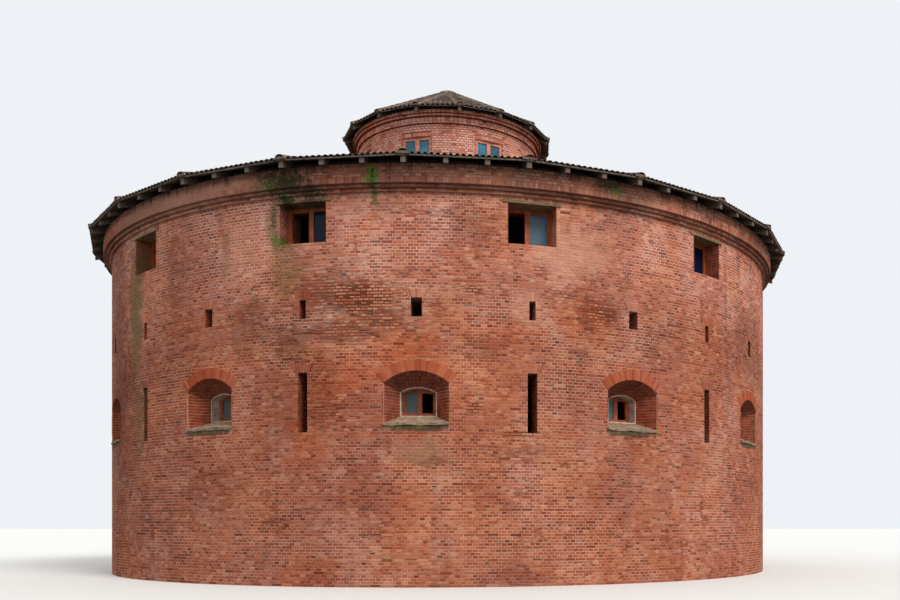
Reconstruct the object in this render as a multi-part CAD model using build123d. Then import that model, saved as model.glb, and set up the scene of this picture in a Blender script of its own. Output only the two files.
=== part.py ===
"""A round brick tower: a drum with two storeys of openings, a low hipped roof and a turret.

Units are millimetres and +Z is up. The origin is on the tower's axis at ground level. The front
is -Y, where an arched embrasure is centred, and azimuths are counted from there, anticlockwise
seen from above, so that +X is at 90 degrees.
"""

import math
import os

from build123d import *

# Main wall, in three storeys that step back inside to carry the floors
wall_radius = 11000
base_wall_thickness = 2000
lower_wall_thickness = 1600
upper_wall_thickness = 1100
base_wall_height = 2300
lower_wall_height = 5000
upper_wall_height = 2372
floor_thickness = 300

# Bays: an embrasure in the middle of each, a slit where two bays meet
bay_count = 12
upper_segment_count = 6

# Arched embrasures, which splay inwards to a plastered throat and open again to the room. The
# height of each sill is over the foot of the lower wall, and that of each jamb is over its sill
embrasure_width = 1630
embrasure_sill_height = 1730
embrasure_jamb_height = 970
embrasure_rise = 310
splay_depth = 510
throat_width = 920
throat_sill_height = 1930
throat_jamb_height = 610
throat_rise = 140
throat_depth = 350
room_mouth_width = 1500
room_mouth_sill_height = 1700
room_mouth_jamb_height = 1050
room_mouth_rise = 280
sill_thickness = 60
sill_projection = 45
lining_thickness = 25

# Slits and vents: straight outside, splayed towards the room, with their sills' heights over the
# foot of the lower wall
loophole_straight_depth = 520
slit_width = 260
slit_room_width = 900
slit_sill_height = 1522
slit_height = 1482
vent_sill_height = 4330
vent_height = 468
wide_vent_width = 280
narrow_vent_width = 175
vent_room_width = 560

# Upper windows, with a plank lintel let into the wall above each and the sill's height over the
# foot of the upper wall
upper_window_width = 1260
upper_window_sill_height = 1202
upper_window_height = 1014
upper_frame_setback = 470
lintel_thickness = 60
lintel_bearing_length = 130
lintel_depth = 560
lintel_projection = 12

# Cornice under the eaves: two brick ledges and a frieze that stands out over them
ledge_height = 78
lower_ledge_projection = 80
upper_ledge_projection = 160
frieze_projection = 250
frieze_height = 468

# Ring of masonry that carries the turret, with a doorway on four sides of each upper storey
core_thickness = 900
core_ledge_width = 160
core_ledge_notch = 30
doorway_count = 4
doorway_width = 1100
doorway_height = 2100
doorway_rise = 350

# Turret, whose wall starts below the ledge for the main rafters. Its floor lies on the masonry
# ring below it, and its windows' sills are at a height over the wall's foot
turret_radius = 3130
turret_wall_thickness = 500
turret_seat_depth = 765
turret_wall_height = 2450
turret_floor_thickness = 150
turret_window_count = 8
turret_window_phase = 30
turret_window_width = 1000
turret_window_sill_height = 1180
turret_window_height = 870
turret_frame_setback = 60
turret_ledge_height = 80
turret_band_height = 130
turret_lower_ledge_projection = 70
turret_band_projection = 45
turret_upper_ledge_projection = 140
turret_frieze_projection = 200
turret_frieze_height = 110

# Window joinery
frame_depth = 70
frame_bar = 95
mullion_width = 130
glass_thickness = 6

# Main roof, a low pyramid cut off at the turret, with a rafter under each hip and more between
# them. Along a hip its boards' underside starts beyond the frieze and over its top
roof_angle = 18
eaves_projection = 430
eaves_rise = 30
roof_side_count = 24
roof_hip_azimuth = 13.75
rafters_per_side = 3
rafter_width = 120
rafter_depth = 160
rafter_tail_setback = 40
eaves_board_width = 95
board_thickness = 35
tile_thickness = 55
tile_overhang = 60
wall_plate_width = 160
wall_plate_height = 120
wall_plate_setback = 150

# Turret roof, a pyramid with a flat crown and a hip over each of its rafters. Its boards'
# underside starts beyond the turret's frieze and under its top
turret_roof_angle = 28.5
turret_eaves_projection = 320
turret_eaves_drop = 15
turret_roof_side_count = 16
turret_hip_azimuth = 10
turret_rafter_width = 100
turret_rafter_depth = 130
turret_rafter_tail_setback = 40
turret_eaves_board_width = 80
turret_board_thickness = 25
turret_tile_thickness = 60
turret_tile_overhang = 60
turret_plate_width = 140
turret_plate_height = 110
turret_plate_setback = 90
hub_radius = 290
hub_depth = 260
crown_radius = 300
cap_lap = 80
cap_batter = 40
cap_crown_height = 35

# Gap left between pieces that meet along a curve, and how far a cutting shape runs past its piece
seat_gap = 0.5
overrun = 300

bay_angle = 360 / bay_count
lower_room_radius = wall_radius - lower_wall_thickness
upper_room_radius = wall_radius - upper_wall_thickness
core_radius = turret_radius + core_ledge_width
core_room_radius = core_radius - core_thickness
turret_room_radius = turret_radius - turret_wall_thickness
throat_end = splay_depth + throat_depth

# Heights over the ground, from storey to storey
base_wall_top = base_wall_height
lower_wall_top = base_wall_top + lower_wall_height
upper_wall_top = lower_wall_top + upper_wall_height
cornice_top = upper_wall_top + 2 * ledge_height + frieze_height
slit_bottom = base_wall_top + slit_sill_height
slit_top = slit_bottom + slit_height
vent_bottom = base_wall_top + vent_sill_height
vent_top = vent_bottom + vent_height
upper_window_bottom = lower_wall_top + upper_window_sill_height
upper_window_top = upper_window_bottom + upper_window_height


class HippedRoof:
    """A many-sided roof, given by the line along a hip of its boards' underside.

    The sides stop at the crown, and the base is a level under all of the roof's timbers.
    """

    def __init__(self, degrees, foot_radius, foot_height, side_count, hip_azimuth, crown, base):
        self.slope = math.tan(math.radians(degrees))
        self.foot_radius = foot_radius
        self.foot_height = foot_height
        self.side_count = side_count
        self.hip_azimuth = hip_azimuth
        self.crown = crown
        self.base = base

    def height(self, radius):
        """The height of the underside on a hip, at a distance from the axis."""
        return self.foot_height + (self.foot_radius - radius) * self.slope

    def upright(self, thickness):
        """The upright measure of a layer whose thickness is square to the roof."""
        return thickness * math.hypot(1, self.slope)

    def plan(self, radius, height):
        """The roof's outline from above with its hips at a radius, laid at a height."""
        corners = RegularPolygon(radius, self.side_count)
        return Pos(0, 0, height) * Rot(0, 0, self.hip_azimuth - 90) * corners

    def column(self, radius, height):
        """The outline raised from the roof's base."""
        return extrude(self.plan(radius, self.base), height)

    def below(self, radius, rise=0):
        """All that lies under a surface, a rise over the boards' underside, out to a radius."""
        foot = self.height(radius) + rise
        top = self.height(self.crown) + rise
        slopes = loft([self.plan(radius, foot), self.plan(self.crown, top)], ruled=True)
        return self.column(radius, foot - self.base) + slopes

    def layer(self, radius, low, high):
        """What lies between two rises over the boards' underside, out to a radius."""
        return self.below(radius, high) - self.below(radius + overrun, low)


eaves_radius = wall_radius + frieze_projection + eaves_projection
main_roof = HippedRoof(
    roof_angle,
    eaves_radius,
    cornice_top + eaves_rise,
    roof_side_count,
    roof_hip_azimuth,
    turret_radius,
    upper_wall_top,
)

# The ledge that the main rafters are notched over, and the turret's heights, which follow it
rafter_foot = main_roof.height(core_radius) - main_roof.upright(rafter_depth)
core_ledge_height = rafter_foot + core_ledge_notch
turret_wall_bottom = core_ledge_height - turret_seat_depth
turret_wall_top = turret_wall_bottom + turret_wall_height
turret_window_bottom = turret_wall_bottom + turret_window_sill_height
turret_window_top = turret_window_bottom + turret_window_height
turret_cornice_height = 2 * turret_ledge_height + turret_band_height + turret_frieze_height
turret_cornice_top = turret_wall_top + turret_cornice_height
turret_eaves_radius = turret_radius + turret_frieze_projection + turret_eaves_projection
turret_roof = HippedRoof(
    turret_roof_angle,
    turret_eaves_radius,
    turret_cornice_top - turret_eaves_drop,
    turret_roof_side_count,
    turret_hip_azimuth,
    crown_radius,
    turret_wall_bottom,
)


def arched_outline(width, sill_height, jamb_height, rise):
    """An embrasure's outline as width, sill, springing and rise."""
    sill = base_wall_top + sill_height
    return (width, sill, sill + jamb_height, rise)


# The outlines of an embrasure, from outside to the room
mouth = arched_outline(
    embrasure_width, embrasure_sill_height, embrasure_jamb_height, embrasure_rise
)
throat = arched_outline(throat_width, throat_sill_height, throat_jamb_height, throat_rise)
room_mouth = arched_outline(
    room_mouth_width, room_mouth_sill_height, room_mouth_jamb_height, room_mouth_rise
)


def turned(shape, azimuth):
    """The shape carried round the tower's axis."""
    return Rot(0, 0, azimuth) * shape


def around(shape, count, phase=0):
    """Copies of a shape spaced evenly round the tower, as one set."""
    return Compound([turned(shape, phase + 360 / count * k) for k in range(count)])


def revolved(points, half_angle=180):
    """What an outline of radius and height sweeps, to half_angle each side of the front."""
    outline = make_face(Plane.XZ * Polyline(*points, close=True))
    return turned(revolve(outline, Axis.Z, 2 * half_angle), -90 - half_angle)


def ring(outer, inner, bottom, top, half_angle=180):
    """A ring with upright walls and level ends, or a stretch of one."""
    return revolved([(inner, bottom), (outer, bottom), (outer, top), (inner, top)], half_angle)


def disc(radius, bottom, thickness):
    """A round slab."""
    return Pos(0, 0, bottom + thickness / 2) * Cylinder(radius, thickness)


def prism(points, bottom, top):
    """A plan outline raised between two heights."""
    return Pos(0, 0, bottom) * extrude(make_face(Polyline(*points, close=True)), top - bottom)


def front_block(width, outer, inner, bottom, top):
    """A block at the front of the tower, between two distances from its axis."""
    half = width / 2
    return prism([(-half, -outer), (half, -outer), (half, -inner), (-half, -inner)], bottom, top)


def between(start, end, share):
    """The sizes that lie a share of the way from one outline to another."""
    return tuple(a + (b - a) * share for a, b in zip(start, end))


def narrowed(outline, margin):
    """An arched outline drawn in by a margin on every side."""
    width, sill, springing, rise = outline
    return (width - 2 * margin, sill + margin, springing, rise - margin)


def arched_face(outline, depth, radius=wall_radius):
    """An arched outline as an upright face, at a depth behind a wall's outer face."""
    width, sill, springing, rise = outline
    half = width / 2
    y = depth - radius
    edges = [
        Line((-half, y, sill), (half, y, sill)),
        Line((half, y, sill), (half, y, springing)),
        ThreePointArc((half, y, springing), (0, y, springing + rise), (-half, y, springing)),
        Line((-half, y, springing), (-half, y, sill)),
    ]
    return Face(Wire(edges))


def arched_passage(near_outline, near, far_outline, far, radius=wall_radius):
    """The straight-sided solid between arched outlines at two depths."""
    faces = [arched_face(near_outline, near, radius), arched_face(far_outline, far, radius)]
    return loft(faces, ruled=True)


def embrasure_hollow():
    """The space cut through the wall for an arched embrasure."""
    outside = between(mouth, throat, -overrun / splay_depth)
    beyond = lower_wall_thickness + overrun
    hollow = arched_passage(outside, -overrun, throat, splay_depth)
    hollow += arched_passage(throat, splay_depth, throat, throat_end)
    hollow += arched_passage(throat, throat_end, room_mouth, lower_wall_thickness)
    hollow += arched_passage(room_mouth, lower_wall_thickness, room_mouth, beyond)
    return hollow


def embrasure_sill_slab(projection):
    """The sloping sill over the whole splay of an embrasure, out to its projection."""

    def section(depth):
        width, top, _, _ = between(mouth, throat, depth / splay_depth)
        half = width / 2
        y = depth - wall_radius
        bottom = top - sill_thickness
        corners = [(-half, y, bottom), (half, y, bottom), (half, y, top), (-half, y, top)]
        return make_face(Polyline(*corners, close=True))

    return loft([section(-projection), section(splay_depth)], ruled=True)


def loophole(width, room_width, bottom, top):
    """The space of a slit or vent: straight at first, then splayed to the room."""
    right = [
        (width / 2, -wall_radius - overrun),
        (width / 2, loophole_straight_depth - wall_radius),
        (room_width / 2, -lower_room_radius),
        (room_width / 2, overrun - lower_room_radius),
    ]
    left = [(-x, y) for x, y in reversed(right)]
    return prism(right + left, bottom, top)


def lower_wall_bay():
    """One bay of the lower storey, with half a slit and half a narrow vent at each end."""
    bay = ring(wall_radius, lower_room_radius, base_wall_top, lower_wall_top, bay_angle / 2)
    bay -= embrasure_hollow()
    bay -= embrasure_sill_slab(overrun)
    bay -= loophole(wide_vent_width, vent_room_width, vent_bottom, vent_top)
    slit = loophole(slit_width, slit_room_width, slit_bottom, slit_top)
    vent = loophole(narrow_vent_width, vent_room_width, vent_bottom, vent_top)
    for end in (-bay_angle / 2, bay_angle / 2):
        bay -= turned(slit, end)
        bay -= turned(vent, end)
    return bay


def upper_window_lintel():
    """The plank lintel over an upper window."""
    return front_block(
        upper_window_width + 2 * lintel_bearing_length,
        wall_radius + lintel_projection,
        wall_radius - lintel_depth,
        upper_window_top,
        upper_window_top + lintel_thickness,
    )


def upper_wall_segment():
    """A stretch of the upper storey over two bays, with the windows above their slits."""
    half_angle = 180 / upper_segment_count
    segment = ring(wall_radius, upper_room_radius, lower_wall_top, upper_wall_top, half_angle)
    window = front_block(
        upper_window_width,
        wall_radius + overrun,
        upper_room_radius - overrun,
        upper_window_bottom,
        upper_window_top,
    )
    for azimuth in (-bay_angle / 2, bay_angle / 2):
        segment -= turned(window, azimuth)
        segment -= turned(upper_window_lintel(), azimuth)
    return segment


def stepped_cornice(radius, room_radius, bottom, steps):
    """A brick cornice: each step is its projection and height, from the lowest up."""
    outline = [(room_radius, bottom)]
    height = bottom
    for projection, rise in steps:
        outline += [(radius + projection, height), (radius + projection, height + rise)]
        height += rise
    return revolved(outline + [(room_radius, height)])


def main_cornice():
    """The cornice and frieze of the main wall."""
    steps = [
        (lower_ledge_projection, ledge_height),
        (upper_ledge_projection, ledge_height),
        (frieze_projection, frieze_height),
    ]
    return stepped_cornice(wall_radius, upper_room_radius, upper_wall_top, steps)


def turret_cornice():
    """The turret's cornice: two ledges with a band between them, and a frieze on top."""
    steps = [
        (turret_lower_ledge_projection, turret_ledge_height),
        (turret_band_projection, turret_band_height),
        (turret_upper_ledge_projection, turret_ledge_height),
        (turret_frieze_projection, turret_frieze_height),
    ]
    return stepped_cornice(turret_radius, turret_room_radius, turret_wall_top, steps)


def core_storey(bottom, top):
    """One storey of the masonry ring that carries the turret, with its arched doorways."""
    storey = ring(core_radius, core_room_radius, bottom, top)
    outline = (doorway_width, bottom, bottom + doorway_height, doorway_rise)
    reach = core_thickness + overrun
    doorway = arched_passage(outline, -overrun, outline, reach, core_radius)
    for k in range(doorway_count):
        storey -= turned(doorway, 360 / doorway_count * k)
    return storey


def turret_wall():
    """The turret's wall, with the ledge that takes the main rafters and a ring of windows."""
    wall = revolved(
        [
            (turret_room_radius, turret_wall_bottom),
            (core_radius, turret_wall_bottom),
            (core_radius, core_ledge_height),
            (turret_radius, core_ledge_height),
            (turret_radius, turret_wall_top),
            (turret_room_radius, turret_wall_top),
        ]
    )
    window = front_block(
        turret_window_width,
        turret_radius + overrun,
        turret_room_radius - overrun,
        turret_window_bottom,
        turret_window_top,
    )
    for k in range(turret_window_count):
        wall -= turned(window, turret_window_phase + 360 / turret_window_count * k)
    return wall


def window_joinery(blank, opening, glazed_sides):
    """A frame with a middle post, and panes in its leaves: -1 is the left leaf, 1 the right."""
    room = blank.bounding_box()
    middle = Pos(*room.center())
    post = middle * Box(mullion_width, frame_depth, room.size.Z)
    sheet = middle * Box(room.size.X, glass_thickness, room.size.Z)
    frame = blank - opening
    frame += blank & post
    panes = []
    for side in glazed_sides:
        leaf = middle * Pos(side * room.size.X / 2) * Box(
            room.size.X - mullion_width, frame_depth, room.size.Z
        )
        panes.append(opening & leaf & sheet)
    return frame, panes


def embrasure_window():
    """The window in the throat of an embrasure, whose left leaf is glazed."""
    near, far = throat_end - frame_depth, throat_end
    lined = narrowed(throat, lining_thickness)
    inner = narrowed(lined, frame_bar)
    blank = arched_passage(lined, near, lined, far)
    return window_joinery(blank, arched_passage(inner, near, inner, far), [-1])


def square_window(width, bottom, top, outer, glazed_sides):
    """A square-headed window with its outer face at a distance from the axis."""
    inner = outer - frame_depth
    blank = front_block(width, outer, inner, bottom, top)
    bars = 2 * frame_bar
    opening = front_block(width - bars, outer, inner, bottom + frame_bar, top - frame_bar)
    return window_joinery(blank, opening, glazed_sides)


def upper_window():
    """The window in the upper wall, whose right leaf is glazed."""
    outer = wall_radius - upper_frame_setback
    return square_window(upper_window_width, upper_window_bottom, upper_window_top, outer, [1])


def turret_window():
    """The window in the turret, glazed on both sides."""
    outer = turret_radius - turret_frame_setback
    sides = [-1, 1]
    return square_window(turret_window_width, turret_window_bottom, turret_window_top, outer, sides)


def throat_lining():
    """The plaster that lines the throat of an embrasure."""
    lined = narrowed(throat, lining_thickness)
    block = arched_passage(throat, splay_depth, throat, throat_end)
    return block - arched_passage(lined, splay_depth, lined, throat_end)


def wall_plate(cornice_radius, setback, width, bottom, height, clearance=0):
    """The timber ring that a roof's rafters are notched over."""
    outer = cornice_radius - setback
    return ring(outer + clearance, outer - width - clearance, bottom, bottom + height)


def main_wall_plate(clearance=0):
    """The plate on the main wall."""
    radius = wall_radius + frieze_projection
    return wall_plate(
        radius, wall_plate_setback, wall_plate_width, cornice_top, wall_plate_height, clearance
    )


def turret_wall_plate(clearance=0):
    """The plate on the turret."""
    radius = turret_radius + turret_frieze_projection
    return wall_plate(
        radius,
        turret_plate_setback,
        turret_plate_width,
        turret_cornice_top,
        turret_plate_height,
        clearance,
    )


def sloping_beam(roof, tail, head, width, depth):
    """A beam under a roof's hip, from its tail to its head, with its top along the boards."""
    upright = roof.upright(depth)
    high_tail, high_head = roof.height(tail), roof.height(head)
    corners = [
        (tail, high_tail),
        (head, high_head),
        (head, high_head - upright),
        (tail, high_tail - upright),
    ]
    side = make_face(Plane.XZ * Polyline(*corners, close=True))
    return turned(extrude(side, width / 2, both=True), -90)


def main_rafters():
    """The rafters of one side of the main roof, the first under its hip, backed to the slopes.

    Each is notched over the wall plate and has its head on the ledge round the turret.
    """
    tail = eaves_radius - rafter_tail_setback
    beam = sloping_beam(main_roof, tail, turret_room_radius, rafter_width, rafter_depth)
    beam -= main_wall_plate(seat_gap)
    beam -= disc(core_radius + seat_gap, core_ledge_height - 2 * overrun, 2 * overrun)
    beam -= disc(turret_radius + seat_gap, core_ledge_height - overrun, 4 * overrun)
    spacing = 360 / roof_side_count / rafters_per_side
    azimuths = [roof_hip_azimuth + spacing * k for k in range(rafters_per_side)]
    return [turned(beam, azimuth) & main_roof.below(tail) for azimuth in azimuths]


def turret_rafter():
    """A hip rafter of the turret, backed to the two slopes that meet over it."""
    tail = turret_eaves_radius - turret_rafter_tail_setback
    head = hub_radius * math.cos(math.pi / turret_roof_side_count)
    beam = sloping_beam(turret_roof, tail, head, turret_rafter_width, turret_rafter_depth)
    beam -= turret_wall_plate(seat_gap)
    return turned(beam, turret_hip_azimuth) & turret_roof.below(turret_eaves_radius)


def turret_hub():
    """The block in the middle of the turret roof that the rafters' heads butt against."""
    foot = turret_roof.height(hub_radius) - hub_depth
    half_side = 180 / turret_roof_side_count
    block = turned(extrude(turret_roof.plan(hub_radius, foot), 2 * hub_depth), half_side)
    return block & turret_roof.below(turret_eaves_radius)


def covering(roof, board_width, board_thickness, tile_thickness, tile_overhang):
    """The board along a roof's eaves, the boards behind it and the tiles, from the outside in."""
    boards = roof.upright(board_thickness)
    tiles = roof.upright(tile_thickness)
    board_layer = roof.layer(roof.foot_radius, 0, boards)
    tile_layer = roof.layer(roof.foot_radius + tile_overhang, boards, boards + tiles)
    inside = roof.column(roof.foot_radius - board_width, 2 * roof.foot_radius)
    return [board_layer - inside, board_layer & inside, tile_layer]


def main_covering():
    """The main roof's layers, cut round the turret."""
    layers = covering(
        main_roof, eaves_board_width, board_thickness, tile_thickness, tile_overhang
    )
    turret_space = disc(turret_radius + seat_gap, main_roof.base, turret_cornice_top)
    return [layer - turret_space for layer in layers]


def turret_covering():
    """The turret roof's layers."""
    return covering(
        turret_roof,
        turret_eaves_board_width,
        turret_board_thickness,
        turret_tile_thickness,
        turret_tile_overhang,
    )


def turret_cap():
    """The low cap bedded over the crown of the turret's tiles."""
    boards = turret_roof.upright(turret_board_thickness)
    tiles = turret_roof.upright(turret_tile_thickness)
    foot_radius = crown_radius + cap_lap
    foot = turret_roof.height(foot_radius) + boards
    top = turret_roof.height(crown_radius) + boards + tiles + cap_crown_height
    outlines = [
        turret_roof.plan(foot_radius, foot),
        turret_roof.plan(foot_radius - cap_batter, top),
    ]
    return loft(outlines, ruled=True) - turret_roof.below(turret_eaves_radius, boards + tiles)


def part_nodes():
    """Every piece of the tower, by the name of its node."""
    nodes = {"base_wall": ring(wall_radius, wall_radius - base_wall_thickness, 0, base_wall_top)}
    bay = lower_wall_bay()
    for k in range(bay_count):
        nodes[f"lower_wall_{k + 1:02d}"] = turned(bay, bay_angle * k)
    segment = upper_wall_segment()
    for k in range(upper_segment_count):
        nodes[f"upper_wall_{k + 1}"] = turned(segment, 360 / upper_segment_count * k)
    nodes["main_cornice"] = main_cornice()

    lower_floor_top = base_wall_top + floor_thickness
    upper_floor_top = lower_wall_top + floor_thickness
    nodes["lower_floor"] = disc(lower_room_radius - seat_gap, base_wall_top, floor_thickness)
    nodes["upper_floor"] = disc(upper_room_radius - seat_gap, lower_wall_top, floor_thickness)
    nodes["turret_floor"] = disc(
        turret_room_radius - seat_gap, turret_wall_bottom, turret_floor_thickness
    )
    nodes["core_base"] = ring(core_radius, core_room_radius, 0, base_wall_top)
    nodes["core_lower"] = core_storey(lower_floor_top, lower_wall_top)
    nodes["core_upper"] = core_storey(upper_floor_top, turret_wall_bottom)

    window_azimuth = bay_angle / 2
    nodes["embrasure_sills"] = around(embrasure_sill_slab(sill_projection), bay_count)
    nodes["embrasure_linings"] = around(throat_lining(), bay_count)
    nodes["upper_window_lintels"] = around(upper_window_lintel(), bay_count, window_azimuth)
    windows = {
        "embrasure": (embrasure_window(), bay_count, 0),
        "upper": (upper_window(), bay_count, window_azimuth),
        "turret": (turret_window(), turret_window_count, turret_window_phase),
    }
    for name, ((frame, panes), count, phase) in windows.items():
        nodes[f"{name}_window_frames"] = around(frame, count, phase)
        nodes[f"{name}_window_panes"] = Compound([around(pane, count, phase) for pane in panes])

    nodes["turret_wall"] = turret_wall()
    nodes["turret_cornice"] = turret_cornice()
    nodes["wall_plates"] = Compound([main_wall_plate(), turret_wall_plate()])
    nodes["main_rafters"] = Compound([around(beam, roof_side_count) for beam in main_rafters()])
    nodes["turret_rafters"] = around(turret_rafter(), turret_roof_side_count)
    nodes["turret_hub"] = turret_hub()
    main_edge, main_boards, main_tiles = main_covering()
    turret_edge, turret_boards, turret_tiles = turret_covering()
    nodes["eaves_boards"] = Compound([main_edge, turret_edge])
    nodes["main_roof_boards"] = main_boards
    nodes["main_roof_tiles"] = main_tiles
    nodes["turret_roof_boards"] = turret_boards
    nodes["turret_roof_tiles"] = turret_tiles
    nodes["turret_roof_cap"] = turret_cap()
    return nodes


if __name__ == "__main__":
    os.makedirs("parts", exist_ok=True)
    for name, shape in part_nodes().items():
        export_step(shape, f"parts/{name}.step")
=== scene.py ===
"""The finish of a round brick tower: its bricks, roof tiles, joinery, colours, stains and stage."""

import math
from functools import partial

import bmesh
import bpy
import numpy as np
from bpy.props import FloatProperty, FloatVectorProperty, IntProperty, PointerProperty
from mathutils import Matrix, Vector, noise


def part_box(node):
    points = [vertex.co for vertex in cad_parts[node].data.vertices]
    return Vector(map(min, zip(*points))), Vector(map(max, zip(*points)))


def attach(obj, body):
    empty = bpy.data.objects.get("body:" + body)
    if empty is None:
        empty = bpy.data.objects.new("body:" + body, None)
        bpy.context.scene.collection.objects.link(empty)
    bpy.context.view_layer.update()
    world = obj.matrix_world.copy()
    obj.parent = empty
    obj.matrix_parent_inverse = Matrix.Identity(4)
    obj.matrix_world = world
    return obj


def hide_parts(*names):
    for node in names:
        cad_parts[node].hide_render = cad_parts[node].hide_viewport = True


bl_info = {
    "name": "Round Brick Tower",
    "version": (1, 0, 0),
    "blender": (4, 5, 0),
    "location": "View3D > Sidebar > Tower",
    "description": "Lays the bricks and tiles of a round tower and gives every piece its finish",
    "category": "Add Mesh",
}

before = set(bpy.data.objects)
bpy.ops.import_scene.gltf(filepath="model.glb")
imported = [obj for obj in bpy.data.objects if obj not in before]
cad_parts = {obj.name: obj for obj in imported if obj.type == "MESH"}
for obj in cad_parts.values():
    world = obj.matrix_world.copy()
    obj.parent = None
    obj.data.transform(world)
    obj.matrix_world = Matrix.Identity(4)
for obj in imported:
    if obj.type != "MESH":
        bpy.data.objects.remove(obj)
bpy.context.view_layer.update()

BODY = "root"
SEED = 1849
# What each part of the work adds to the seed, next to the bays, which add their own number
CORNICE, TURRET, TILES, HIPS, TURRET_TILES = 100, 200, 300, 350, 400


def linear(hex_colour):
    """An sRGB colour written as six hex digits, as linear red, green and blue."""
    channels = [int(hex_colour[k : k + 2], 16) / 255 for k in (0, 2, 4)]
    return tuple(c / 12.92 if c <= 0.04045 else ((c + 0.055) / 1.055) ** 2.4 for c in channels)


def length(name, default, description):
    """A length in metres that a user can change."""
    return FloatProperty(name=name, default=default, min=0, unit="LENGTH", description=description)


def number(name, default, description):
    """A plain number that a user can change."""
    return FloatProperty(name=name, default=default, description=description)


def count(name, default, description):
    """A whole number that a user can change."""
    return IntProperty(name=name, default=default, min=1, description=description)


def share(name, default, description):
    """A share from 0 to 1 that a user can change."""
    return FloatProperty(
        name=name, default=default, min=0, max=1, subtype="FACTOR", description=description
    )


def colour(name, default, description):
    """A colour that a user can change, given as hex."""
    return FloatVectorProperty(
        name=name, default=linear(default), subtype="COLOR", min=0, max=1, description=description
    )


def angle(name, degrees, description):
    """An angle that a user can change, given in degrees."""
    return FloatProperty(
        name=name, default=math.radians(degrees), subtype="ANGLE", description=description
    )


class TowerWalls(bpy.types.PropertyGroup):
    """The walls that carry the bricks."""

    radius: length("Wall radius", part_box("base_wall")[1].x, "Outer radius of the main wall")
    top: length("Wall top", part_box("main_cornice")[0].z, "Height of the wall under the cornice")
    bays: count("Bays", 12, "Number of equal bays round the wall")
    turret_radius: length("Turret radius", 3.13, "Outer radius of the turret wall")
    turret_foot: length("Turret foot", 13.03, "Height at which the turret wall leaves the roof")
    turret_top: length("Turret top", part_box("turret_cornice")[0].z, "Height of the turret wall")
    turret_window_phase: angle("Turret turn", 30, "Azimuth of one turret window")


class TowerBricks(bpy.types.PropertyGroup):
    """The bricks and how they are laid."""

    course: length("Course", 0.078, "Height of a brick and its bed joint")
    stretchers: count("Stretchers", 240, "Stretchers in one course of the main wall")
    turret_stretchers: count("Turret stretchers", 72, "Stretchers in one course of the turret")
    cycle: count("Cycle", 4, "One course in so many is of stretchers, the others of headers")
    joint: length("Joint", 0.016, "Width of a sound mortar joint")
    worn_joint: length("Worn joint", 0.028, "Width of a joint whose bricks are worn round")
    stand_out: length("Stand-out", 0.005, "How far bricks stand out of the mortar")
    uneven: length("Unevenness", 0.003, "How much bricks vary in stand-out")
    arris: length("Arris", 0.004, "Wear along a brick's edges")
    header: length("Header", 0.135, "Width of a header")
    voussoir: length("Voussoir depth", 0.28, "Height of an arch's ring of bricks")
    quoin: length("Quoin", 0.3, "Width of the harder bricks beside an arched opening")
    spalled: share("Spalled", 0.035, "Share of sound bricks that have lost an edge")


class TowerOpenings(bpy.types.PropertyGroup):
    """The openings that the bricks are laid round."""

    mouth_width: length("Mouth width", 1.63, "Width of an arched opening at the face")
    mouth_sill: length("Mouth sill", 4.03, "Height of its sill at the face")
    mouth_springing: length("Mouth springing", 5.0, "Height where its arch starts")
    mouth_rise: length("Mouth rise", 0.31, "Rise of its arch")
    throat_width: length("Throat width", 0.92, "Width of an arched opening at its throat")
    throat_sill: length("Throat sill", 4.23, "Height of its sill at the throat")
    throat_springing: length("Throat springing", 4.84, "Height where the throat's arch starts")
    throat_rise: length("Throat rise", 0.14, "Rise of the throat's arch")
    splay: length("Splay", 0.51, "Depth of the splay from the face to the throat")
    sill_thickness: length("Sill thickness", 0.06, "Thickness of the sloping sill")
    slit_width: length("Slit width", 0.26, "Width of a slit")
    slit_bottom: length("Slit bottom", 3.822, "Height of a slit's foot")
    slit_top: length("Slit top", 5.304, "Height of a slit's head")
    wide_vent: length("Wide vent", 0.28, "Width of a vent over an arch")
    narrow_vent: length("Narrow vent", 0.175, "Width of a vent over a slit")
    vent_bottom: length("Vent bottom", 6.63, "Height of a vent's foot")
    vent_top: length("Vent top", 7.098, "Height of a vent's head")
    loophole_depth: length("Loophole depth", 0.52, "Depth of the straight part of slits and vents")
    fan_height: length("Fan height", 0.234, "Height of the flat arch over a slit or vent")
    window_width: length("Window width", 1.26, "Width of an upper window")
    window_bottom: length("Window bottom", 8.502, "Height of an upper window's sill")
    window_top: length("Window top", 9.516, "Height of an upper window's head")
    window_depth: length("Window depth", 0.47, "Depth of its frame behind the face")
    lintel_thickness: length("Lintel thickness", 0.06, "Thickness of its plank lintel")
    lintel_bearing: length("Lintel bearing", 0.13, "How far the lintel runs into the wall")
    turret_width: length("Turret window width", 1.0, "Width of a turret window")
    turret_bottom: length("Turret window bottom", 13.33, "Height of its sill")
    turret_top: length("Turret window top", 14.2, "Height of its head")


class TowerTiles(bpy.types.PropertyGroup):
    """The half-round roof tiles."""

    exposure: length("Exposure", 0.33, "Length of a tile that shows")
    tile_length: length("Tile length", 0.4, "Full length of a tile")
    arch: length("Arch", 0.045, "Height of a cover tile")
    lift: length("Lift", 0.012, "How far a cover tile's foot stands over the tile below")
    edge: length("Edge", 0.045, "How far the tiles' ends stay inside the roof's outline")
    hip_exposure: length("Hip exposure", 0.37, "Length of a hip tile that shows")
    hip_length: length("Hip tile length", 0.42, "Full length of a hip tile")
    hip_lift: length("Hip lift", 0.02, "How far a hip tile's foot stands over the roof")
    hip_start: number("Hip start", 1.15, "How much larger the lowest hip tile is")


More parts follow.
